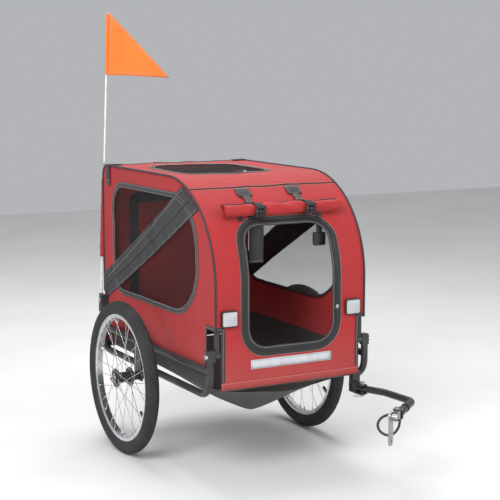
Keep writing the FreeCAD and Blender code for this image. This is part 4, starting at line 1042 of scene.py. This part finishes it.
VALVE_TURN = math.tau / SPOKE_COUNT * 4.5 + 0.1


def build_bands():
    """The webbing braces sewn slantwise across each side."""
    webs = Pile("side_band_webs", "cover_dark", folds=True, stands_for=["side_bands"])
    sewn = Pile("side_band_stitches", "reflective_tape", thread_pale, folds=True)
    slope = (BAND_LOW[1] - BAND_REAR[1]) / (BAND_LOW[0] - CABIN_REAR)
    outline = dense([(CABIN_REAR, BAND_REAR[0]), (CABIN_REAR, SLIT_TOP), (SLIT_REAR_X, SLIT_TOP),
                     (SLIT_REAR_X, BAND_REAR[1] + slope * SLIT_DEPTH / 2), BAND_LOW, BAND_HIGH], closed=True)
    rear_high = (BAND_SEAM_X, BAND_REAR[0] - BAND_SEAM_DROP)
    rear_low = (BAND_SEAM_X, BAND_REAR[1] + BAND_SEAM_RISE)
    for sign in SIDES.values():
        place = side_place(sign)
        webs.add(cut_sheet(outline, place, out=BAND_LIFT, thickness=BAND_THICKNESS))
        for share in BAND_SEAM_SHARES:
            ends = [between(rear_high, rear_low, share), between(BAND_HIGH, BAND_LOW, share)]
            sew(sewn, dense(ends), place, BAND_THREAD_LIFT)


def floor_low(x):
    """How low the floor hangs along its middle: lowest a little ahead of the axle."""
    end_x, end_low = (FLOOR_LOW.x, FLOOR_REAR_LOW) if x < FLOOR_LOW_X else (FLOOR_HIGH.x, FLOOR_FRONT_LOW)
    share = (x - FLOOR_LOW_X) / (end_x - FLOOR_LOW_X)
    return FLOOR_LOW.z + (end_low - FLOOR_LOW.z) * share ** 1.25


def floor_point(x, share):
    """Across the floor, from -1 at the right edge to 1 at the left: down the sides, then into the sag."""
    edge = FLOOR_HIGH.y - FLOOR_EDGE_INSET
    shoulder_z = FLOOR_SHOULDER + FLOOR_SHOULDER_LIFT
    wide = abs(share)
    sign = 1 if share > 0 else -1
    if wide > 1 - FLOOR_LAP_SHARE:
        drop = (1 - wide) / FLOOR_LAP_SHARE
        y = sign * (edge - FLOOR_SHOULDER_INSET * drop ** 4)
        return Vector((x, y, FLOOR_HIGH.z - (FLOOR_HIGH.z - shoulder_z) * drop))
    inner = wide / (1 - FLOOR_LAP_SHARE)
    sag = (FLOOR_SHOULDER - floor_low(x)) * (1 - inner ** 1.3)
    spot = Vector((x, share * HALF, 11.0))
    lift = crumple(spot, size=0.10, height=0.004) * slack((share + 1) / 2)
    y = sign * (edge - FLOOR_SHOULDER_INSET) * inner
    return Vector((x, y, max(shoulder_z - sag + lift, FLOOR_LOW.z)))


def build_floor():
    start, end = FLOOR_LOW.x + FLOOR_END_INSET, FLOOR_HIGH.x - FLOOR_END_INSET
    width = int((end - start) / (2 * GRID)) + 1
    verts = []
    uvs = []
    for share in spread(0.0, 1.0, FLOOR_ROWS + 1):
        for x in spread(start, end, width):
            verts.append(floor_point(x, 2 * share - 1))
            uvs.append((x, share * FLOOR_CUT_WIDTH))
    corners = [row * width + column for row in range(FLOOR_ROWS) for column in range(width - 1)]
    faces = [(here, here + 1, here + width + 1, here + width) for here in corners]
    made = piece("floor_cloth", (verts, faces, uvs), "cover_dark", stands_for=["floor_sling"])


def tread(turn, lean):
    """How deep the tyre's rubber is cut at a place: 0 on a block, 1 in a groove."""
    wide = abs(lean)
    if wide > TREAD_REACH or wide < TREAD_RIB:
        return 0.0
    if any(low < wide < high for low, high in TREAD_GROOVES):
        return 1.0
    blocks = turn / math.tau * TREAD_BLOCKS + wide * TREAD_SLANT + (0.5 if lean > 0 else 0.0)
    return 1.0 if blocks % 1.0 < TREAD_GAP_SHARE else 0.0


def build_wheel(side):
    low, high = box(f"tyre_{side}")
    body = f"wheel_{side}"
    middle = (low + high) / 2
    ring_radius = (high.z - low.z) / 2 - TYRE_SECTION

    def out_at(turn):
        return Vector((math.sin(turn), 0, math.cos(turn)))

    def on_tyre(ring, turn):
        around, lean = math.tau * ring / TYRE_TURNS, turn - math.pi
        section = TYRE_SECTION - TREAD_DEPTH * tread(around, lean)
        section -= WALL_LINE_DEPTH * (WALL_LINE[0] < abs(lean) < WALL_LINE[1])
        reach = ring_radius + section * math.cos(lean)
        return middle + out_at(around) * reach + LEFT * (section * math.sin(lean))

    shape = wound(TYRE_TURNS, TYRE_LEANS, on_tyre, closed=True)
    tyre = piece(f"tyre_tread_{side}", shape, "tyre_rubber", body=body, stands_for=[f"tyre_{side}"])
    for polygon in tyre.data.polygons:
        lean = math.tau * (polygon.index % TYRE_LEANS) / TYRE_LEANS - math.pi
        polygon.use_smooth = abs(lean) > SMOOTH_FROM
    nipples = Pile(f"spoke_nipples_{side}", "spoke_steel", body=body)
    for face_side in (1, -1):
        for index in range(SPOKE_COUNT):
            out = out_at(math.tau / SPOKE_COUNT * (index + face_side / 4))
            foot = middle + LEFT * (face_side * SPOKE_RIM_OFFSET) + out * RIM_INNER
            nipples.add(tube([foot - out * run for run in NIPPLE_RUNS], NIPPLE_SIZES, 10))
    out = out_at(VALVE_TURN)
    valve = tube([middle + out * (RIM_INNER - run) for run in VALVE_RUNS], VALVE_SIZES, 14)
    piece(f"tyre_valve_{side}", valve, "tyre_rubber", body=body)


PENNANT_SIZE = 0.210
PENNANT_LENGTH = 0.220
PENNANT_HEADING = math.radians(62)
PENNANT_CLOTH = 0.0008
PENNANT_STEP = 0.008
PENNANT_GAP = 0.0010    # between the pole and the cloth
PENNANT_WAVE = 0.011
PENNANT_DROOP = 0.010
PENNANT_HEM = 0.007
PENNANT_THREAD_LIFT = 0.0006
PENNANT_SLEEVE_INSET = 0.002
SLEEVE_LOW = 0.600
SLEEVE_HIGH = 0.870
SLEEVE_RADIUS = 0.0068
SLEEVE_UNROLLED = 0.007         # the radius that its weave is laid out with
SLEEVE_GAP = 0.0006             # between its flat side and the panel
CORD_SIZE = 0.008
CORD_END = Vector((0.800 + SHIFT, 0.190, 0.250))        # the tow arm's end
CORD_AHEAD = Vector((0.61394, -0.78935, 0))             # the way that the arm's end points
CORD_ROUTE = (          # behind the arm's end, out to its side, and down
    (0.014, 0.016, 0.010), (0.013, 0.040, 0.013), (0.016, 0.066, 0.030), (0.024, 0.077, 0.057),
    (0.035, 0.063, 0.082), (0.047, 0.038, 0.088), (0.057, 0.019, 0.066), (0.060, 0.016, 0.038),
    (0.060, 0.016, 0.010))


def pole_line(node):
    """A function that gives the middle of a pole at a height, and the pole's radius and top."""
    low, high = box(node)
    radius = (high.x - low.x) / 2
    lean = (high.y - low.y - 2 * radius) / (high.z - low.z)

    def on_pole(z):
        return Vector(((low.x + high.x) / 2, low.y + radius + (z - low.z) * lean, z))
    return on_pole, radius, high.z


def build_pennant():
    on_pole, radius, top = pole_line("flag_pole_upper")
    base = top - PENNANT_SIZE
    ahead = Vector((math.cos(PENNANT_HEADING), math.sin(PENNANT_HEADING), 0))
    aside = Vector((-ahead.y, ahead.x, 0))

    def place(u, v, out):
        wave = PENNANT_WAVE * math.sin(u * 34.0 - v * 7.0) * min(1.0, u / 0.06)
        droop = PENNANT_DROOP * (u / PENNANT_LENGTH) ** 2
        return on_pole(base + v) + ahead * (u * 0.985) - UP * droop + aside * (wave + out)

    start = radius + PENNANT_GAP
    outline = dense([(start, 0.0), (PENNANT_LENGTH, 0.0), (start, PENNANT_SIZE)], FINE_STEP, closed=True)
    shape = cut_sheet(outline, place, thickness=PENNANT_CLOTH, step=PENNANT_STEP)
    made = piece("pennant_cloth", shape, "pennant_cloth", body="flag", stands_for=["pennant"])
    hem = Pile("pennant_stitches", "reflective_tape", thread_pale, body="flag")
    for face_side in (1, -1):
        points, ups = on_cloth(grown(outline, -PENNANT_HEM), place, face_side * PENNANT_THREAD_LIFT)
        stitch_line(hem, points, [up * face_side for up in ups], closed=True)
    heights = spread(base + PENNANT_SLEEVE_INSET, top - PENNANT_SLEEVE_INSET, 15)

    def on_sleeve(ring, turn):
        size = radius + CLOTH + 0.0004 * math.sin(ring * 1.9 + turn * 2)
        return on_pole(heights[ring]) + Vector((size * math.cos(turn), size * math.sin(turn), 0))

    piece("pennant_sleeve", wound(len(heights), 24, on_sleeve), "pennant_cloth", body="flag")


def build_cord():
    """The safety cord: a loop of braid hanging from the two rings on the tow arm."""
    across = Vector((CORD_AHEAD.y, -CORD_AHEAD.x, 0))
    points = [CORD_END - CORD_AHEAD * back + across * out - UP * down for back, out, down in CORD_ROUTE]
    data = bpy.data.curves.new("safety_cord_line", "CURVE")
    data.dimensions = "3D"
    spline = data.splines.new("NURBS")
    spline.points.add(len(points) - 1)
    for spot, point in zip(spline.points, points):
        spot.co = (*point, 1.0)
    spline.order_u = 3
    spline.use_endpoint_u = True
    spline.resolution_u = 16
    data.bevel_depth = CORD_SIZE / 2
    data.bevel_resolution = 6
    data.use_fill_caps = True
    data.materials.append(FINISHES["cord_nylon"])
    made = bpy.data.objects.new("safety_cord_braid", data)
    bpy.context.scene.collection.objects.link(made)
    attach(made, "tow_arm")
    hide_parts("safety_cord")
    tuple(points[0])


# Sewn-on details

HEM_TAPE = 0.024
HEM_TAPE_SEAM = 0.020
SIDE_HEM_TAPE = 0.020
FLAP_HALF = 0.150
FLAP_LOW = 0.360
FLAP_HIGH = 0.800
FLAP_CORNER = 0.012
FLAP_TAPE = 0.034
FLAP_SEAM = 0.014
SLIT_TAPE = 0.012
SLIT_TAPE_END = 0.004
NOTCH_TAPE_START = 0.026
BAND_TAPE = 0.010
BAND_TAPE_LIFT = 0.0034
BAND_TAPE_INSET = 0.004
BAND_TAPE_RISE = 0.002
HATCH_SLIDER_Y = 0.055
DOOR_SLIDER_Z = 0.520
SLIDER_LIFT = 0.004
SLIDER_BODY = (0.0065, 0.0050, 0.0022)      # half sides
SLIDER_BRIDGE = (0.0030, 0.0018, 0.0014)
SLIDER_BRIDGE_RISE = 0.003
PULL_PATH = ((0.004, 0.0040), (0.010, 0.0034), (0.019, 0.0025), (0.028, 0.0016), (0.034, 0.0010))
PULL_WIDTH = 0.007
PULL_THICKNESS = 0.0018
TAB_X = CABIN_REAR + 0.052
TAB_WIDTH = 0.028
TAB_THICKNESS = 0.0018
TAB_PATH = (            # out from the cabin's side, up from its roof, and the shares of its facing
    (-0.045, 0.0018, 0, 1), (-0.020, 0.0026, 0, 1), (-0.002, 0.0036, 0.5, 1), (0.0036, -0.002, 1, 0.3),
    (0.0034, -0.030, 1, 0), (0.0022, -0.068, 1, 0))
TAB_SEWN_DROP = 0.048
TAB_SEWN_HEIGHT = 0.016
TAB_SEWN_LIFT = 0.0040
PATCH_HALF = 0.025
PATCH_HALF_HEIGHT = 0.019
PATCH_Z = 0.872
PATCH_SEAM = 0.004
TAIL_LENGTH = 0.150
TAIL_WIDTH = 0.050
TAIL_DRIFT = 0.012
TAIL_SWAY = 0.004
TAIL_SEAM = 0.004
TAIL_SEAM_RISE = 0.006
HANG_Y = 0.132
HANG_LENGTH = 0.070
HANG_WIDTH = 0.020
HANG_AHEAD = 0.006
HANG_DRIFT = 0.004
LOOSE_ZIP_LENGTH = 0.170
LOOSE_ZIP_WIDTH = 0.018
LOOSE_ZIP_Y = 0.014 - DOOR_HALF
LOOSE_ZIP_AHEAD = 0.004
LOOSE_ZIP_DRIFT = 0.008
LOOSE_ZIP_SWAY = 0.010
TIES_TOP = ROLL_MIDDLE + Vector((-0.010, 0, 0.004 - ROLL_RADIUS))


def zip_slider(sliders, pulls, place, u, v, along_u, along_v):
    """A zip slider with a pull tab that lies on the cloth."""
    reach = 0.01
    ends = [(u, v), (u + along_u * reach, v + along_v * reach)]
    (spot, ahead), (up, _) = on_cloth(ends, place, SLIDER_LIFT)
    along = (ahead - spot).normalized()
    across = up.cross(along)
    axes = (along, across, up)
    sliders.add(plate(spot, SLIDER_BODY, corner=0.002, axes=axes))
    sliders.add(plate(spot + up * SLIDER_BRIDGE_RISE, SLIDER_BRIDGE, corner=0.001, axes=axes))
    path = [spot + along * run + up * rise for run, rise in PULL_PATH]
    pulls.add(ribbon(path, across, PULL_WIDTH, PULL_THICKNESS, up))


def corner_tab(tapes, seams, sign):
    """A webbing tab sewn over the cabin's upper rear edge."""
    out = LEFT * sign
    path = [Vector((TAB_X, sign * (HALF + aside), ROOF + rise)) for aside, rise, _, _ in TAB_PATH]
    facings = [(out * out_share + UP * up_share).normalized() for _, _, out_share, up_share in TAB_PATH]
    tapes.add(ribbon(path, AHEAD, TAB_WIDTH, TAB_THICKNESS, facings))
    top = Vector((TAB_X, sign * (HALF + TAB_SEWN_LIFT), ROOF - TAB_SEWN_DROP))
    corners = [top + AHEAD * (a * SEWN_HALF) - UP * (b * TAB_SEWN_HEIGHT) for a, b in BOX_STITCH]
    stitch_line(seams, corners, [out] * len(corners))


def build_trim():
    """Tapes along the cut edges, hems, the rear flap, zip sliders and the tabs."""
    tapes = Pile("cover_tapes", "band_webbing", folds=True)
    hems = Pile("cover_hems", "cover_main", folds=True)
    seams = Pile("cover_tape_stitches", "reflective_tape", thread_pale, folds=True)
    sliders = Pile("zip_sliders", "zinc", folds=True)
    pulls = Pile("zip_pulls", "band_webbing", folds=True)
    half_tape = SLIT_TAPE / 2

    def sewn_tape(line, place):
        tapes.add(tape(line, place, SLIT_TAPE))
        sew(seams, line, place)

    hems.add(tape(dense([(-NOTCH_Y, HEM_TAPE / 2), (NOTCH_Y, HEM_TAPE / 2)]), strip_place, HEM_TAPE))
    sew(seams, dense([(-NOTCH_Y, HEM_TAPE_SEAM), (NOTCH_Y, HEM_TAPE_SEAM)]), strip_place)
    flap = rounded_loop((-FLAP_HALF, WHOLE_RUN + HEM - FLAP_HIGH), (FLAP_HALF, WHOLE_RUN + HEM - FLAP_LOW),
                        (FLAP_CORNER,) * 4)
    for out in (CLOTH, -CLOTH):
        tapes.add(tape(flap, strip_place, FLAP_TAPE, out, closed=True))
    for offset in (-FLAP_SEAM, FLAP_SEAM):
        sew(seams, grown(flap, offset), strip_place, closed=True)
    zip_slider(sliders, pulls, strip_place, HATCH_SLIDER_Y, run_at_roof(HATCH_HIGH.x), -1, 0)
    zip_slider(sliders, pulls, strip_place, DOOR_HALF + ZIP_OFFSET, run_at_height(DOOR_SLIDER_Z), 0, -1)
    for sign in SIDES.values():
        place = side_place(sign)
        slit_x, slit_z = SLIT_FRONT_X - half_tape, SLIT_TOP + half_tape
        sewn_tape(dense([(slit_x, SIDE_HEM), (slit_x, slit_z), (CABIN_FRONT - SLIT_TAPE_END, slit_z)]), place)
        notch_y, notch_run = sign * (NOTCH_Y - half_tape), SLIT_RUN + half_tape
        sewn_tape(dense([(notch_y, NOTCH_TAPE_START), (notch_y, notch_run),
                         (sign * (HALF - SLIT_TAPE_END), notch_run)]), strip_place)
        hem_z = SIDE_HEM + SIDE_HEM_TAPE / 2
        hems.add(tape(dense([(SLIT_REAR_X, hem_z), (SLIT_FRONT_X, hem_z)]), place, SIDE_HEM_TAPE, CLOTH / 2))
        rear_end = (CABIN_REAR + BAND_TAPE_INSET, sum(BAND_REAR) / 2 + BAND_TAPE_RISE)
        middle = dense([rear_end, between(BAND_HIGH, BAND_LOW, 0.5)])
        tapes.add(tape(middle, place, BAND_TAPE, BAND_TAPE_LIFT))
        corner_tab(tapes, seams, sign)


def build_sleeve():
    """The cloth sleeve that steadies the flag pole: two walls, flat against the rear panel."""
    on_pole, _, _ = pole_line("flag_pole_lower")
    heights = spread(SLEEVE_LOW, SLEEVE_HIGH, 31)
    turns = 28

    def wall_shape(wall):
        def place(ring, turn):
            middle = on_pole(heights[ring])
            ruck = 0.0007 * math.sin(ring * 1.3 + 2 * turn)
            ruck += crumple(Vector((ring * 0.4, turn, 1.0)), size=1.0, height=0.0006)
            reach = SLEEVE_RADIUS + wall
            if math.cos(turn) > 0:
                reach = CABIN_REAR - middle.x - SLEEVE_GAP
            aside = SLEEVE_RADIUS + wall + ruck
            return middle + Vector((reach * math.cos(turn), aside * math.sin(turn), 0))

        verts, faces, _ = wound(len(heights), turns, place)
        around = [math.tau * (index % turns) / turns for index in range(len(verts))]
        return verts, faces, [(turn * SLEEVE_UNROLLED, vert.z) for turn, vert in zip(around, verts)]

    sleeve = Pile("pole_sleeve", "cover_main", folds=True)
    for wall in (0.0, CLOTH):
        sleeve.add(wall_shape(wall))


BUCKLE_FRAME = (0.0155, 0.0045, 0.0036)     # half sides
BUCKLE_FRAME_RISE = 0.012
BUCKLE_BAR = (0.0150, 0.0030, 0.0042)
BUCKLE_BAR_DROP = 0.001
BUCKLE_PRONG = ((0.0125, 0.010), (0.0145, -0.004), (0.0150, -0.014), (0.0105, -0.022))      # aside, up
PRONG_WIDTH = 0.0045
PRONG_DEPTH = 0.0060
GUIDE_RUN = (-0.001, -0.020)
GUIDE_WIDTH = 0.0050
GUIDE_DEPTH = 0.0036
BUCKLE_LIFT = 0.0045
BUCKLE_DROP = 0.004
BUCKLE_TURN = 0.1
CLIP_DROP = 0.016       # from the end of the hanging web to the middle of its clip
CLIP = (0.021, 0.021, 0.0045)               # half sides
CLIP_FACE = (0.012, 0.012, 0.0016)
CLIP_FACE_LIFT = 0.005
PATCH_CORNER = 0.003
PATCH_LIFT = 0.0042
PATCH_THICKNESS = 0.0014
PATCH_THREAD_LIFT = 0.0052


def side_buckle(pile, middle):
    """One half of a side-release buckle: frame, bar, two springy prongs and a guide."""
    pile.add(plate(middle + UP * BUCKLE_FRAME_RISE, BUCKLE_FRAME, corner=0.002))
    pile.add(plate(middle - UP * BUCKLE_BAR_DROP, BUCKLE_BAR, corner=0.0015))
    for side in (-1, 1):
        path = [middle + LEFT * (side * aside) + UP * rise for aside, rise in BUCKLE_PRONG]
        pile.add(ribbon(path, LEFT, PRONG_WIDTH, PRONG_DEPTH, AHEAD))
    pile.add(ribbon([middle + UP * rise for rise in GUIDE_RUN], LEFT, GUIDE_WIDTH, GUIDE_DEPTH, AHEAD))


def build_door_ties():
    """What hangs at the rolled door: sewn patches, strap tail, loose buckle and the open zip's tape."""
    webs = Pile("door_tie_webs", "band_webbing", body="front_hoop")
    sewn = Pile("door_tie_stitches", "reflective_tape", thread_pale, body="front_hoop")
    plastic = Pile("door_tie_buckles", "buckle_plastic", body="front_hoop", stands_for=["strap_buckles"])
    zips = Pile("door_zip_loose_tape", "band_webbing", zip_web, body="front_hoop")
    for sign in SIDES.values():
        y, run = sign * STRAP_Y, run_at_height(PATCH_Z)
        low, high = ((y + end * PATCH_HALF, run + end * PATCH_HALF_HEIGHT) for end in (-1, 1))
        patch = rounded_loop(low, high, (PATCH_CORNER,) * 4)
        webs.add(cut_sheet(patch, strip_place, out=PATCH_LIFT, thickness=PATCH_THICKNESS))
        sew(sewn, grown(patch, -PATCH_SEAM), strip_place, PATCH_THREAD_LIFT, closed=True)
        reach = facing_at(BUCKLE_TURN) * (ROLL_RADIUS + BUCKLE_LIFT)
        side_buckle(plastic, ROLL_MIDDLE + reach + LEFT * y - UP * BUCKLE_DROP)
    tail = []
    hang = []
    loose = []
    for share in spread(0.0, 1.0, 15):
        drift = TAIL_DRIFT * share
        sway = TAIL_SWAY * math.sin(5 * share)
        tail.append(TIES_TOP + Vector((sway - drift, drift - STRAP_Y, -TAIL_LENGTH * share)))
        hang.append(TIES_TOP + Vector((HANG_AHEAD, HANG_Y + HANG_DRIFT * share, -HANG_LENGTH * share)))
        ahead = LOOSE_ZIP_AHEAD - LOOSE_ZIP_DRIFT * share
        aside = LOOSE_ZIP_Y + LOOSE_ZIP_SWAY * math.sin(4 * share)
        loose.append(TIES_TOP + Vector((ahead, aside, -LOOSE_ZIP_LENGTH * share)))
    webs.add(ribbon(tail, LEFT, TAIL_WIDTH, STRAP_THICKNESS, AHEAD))
    webs.add(ribbon(hang, LEFT, HANG_WIDTH, STRAP_THICKNESS, AHEAD))
    zips.add(ribbon(loose, LEFT, LOOSE_ZIP_WIDTH, CLOTH, AHEAD))
    seam = tail[-1] + AHEAD * CLOTH + UP * TAIL_SEAM_RISE
    reach = LEFT * (TAIL_WIDTH / 2 - TAIL_SEAM)
    stitch_line(sewn, [seam - reach, seam + reach], [AHEAD] * 2)
    clip = hang[-1] - UP * CLIP_DROP
    plastic.add(plate(clip, CLIP, corner=0.006))
    plastic.add(plate(clip + AHEAD * CLIP_FACE_LIFT, CLIP_FACE, corner=0.004))


# Floor, light and camera

CAMERA_PLACE = (3.673, -2.040, 1.270)
CAMERA_AIM = (-0.010, 0.0, 0.675)
CAMERA_LENS = 96.0
FLOOR_SIZE = 14.0
FLOOR_COLOUR = (0.80, 0.80, 0.79)
SKY_COLOUR = (0.90, 0.92, 0.95, 1.0)
SKY_STRENGTH = 0.50
LIGHTS = {              # place, aim, size, power
    "key": ((2.6, -3.0, 3.4), (0, 0, 0.5), 2.2, 185.0),
    "fill": ((3.6, 2.6, 1.9), (0, 0, 0.5), 2.6, 62.0),
    "top": ((-1.4, 0.4, 3.8), (0, 0, 0.6), 2.4, 95.0),
}
PICTURE_SIZE = 500


def pale_floor():
    half = FLOOR_SIZE / 2
    mesh = bpy.data.meshes.new("floor")
    mesh.from_pydata([(a * half, b * half, 0) for a, b in SECTION], [], [(0, 1, 2, 3)])
    made = Shade("pale floor")
    cloud = made.noise(1.6)
    made.set("Base Color", made.tones(cloud, FLOOR_COLOUR, 0.925, 1.0))
    made.rough(cloud, 0.7, 0.85)
    mesh.materials.append(made.material)
    floor = bpy.data.objects.new("floor", mesh)
    bpy.context.scene.collection.objects.link(floor)


def aimed(name, data, place, aim):
    """A light or a camera at a place, turned to what it looks at."""
    made = bpy.data.objects.new(name, data)
    made.location = place
    made.rotation_euler = (Vector(aim) - Vector(place)).to_track_quat("-Z", "Y").to_euler()
    bpy.context.scene.collection.objects.link(made)
    return made


def set_stage():
    scene = bpy.context.scene
    pale_floor()
    for name, (place, aim, size, power) in LIGHTS.items():
        lamp = bpy.data.lights.new(name, "AREA")
        lamp.size = size
        lamp.energy = power
        aimed(name, lamp, place, aim)
    scene.world = bpy.data.worlds.new("studio")
    scene.world.use_nodes = True
    backdrop = scene.world.node_tree.nodes["Background"]
    backdrop.inputs["Color"].default_value = SKY_COLOUR
    backdrop.inputs["Strength"].default_value = SKY_STRENGTH
    view = bpy.data.cameras.new("camera")
    view.lens = CAMERA_LENS
    scene.camera = aimed("camera", view, CAMERA_PLACE, CAMERA_AIM)
    scene.view_settings.view_transform = "Standard"
    scene.render.resolution_x = PICTURE_SIZE
    scene.render.resolution_y = PICTURE_SIZE


# Build

finish_cad_pieces()
build_cover()
build_roll()
build_straps()
build_reflectors()
build_strip()
build_bands()
build_floor()
for wheel_side in SIDES:
    build_wheel(wheel_side)
build_trim()
build_sleeve()
build_door_ties()
build_pennant()
build_cord()
for name, shape, slot, material, more in piles:
    piece(name, shape, slot, material, **more)
set_stage()
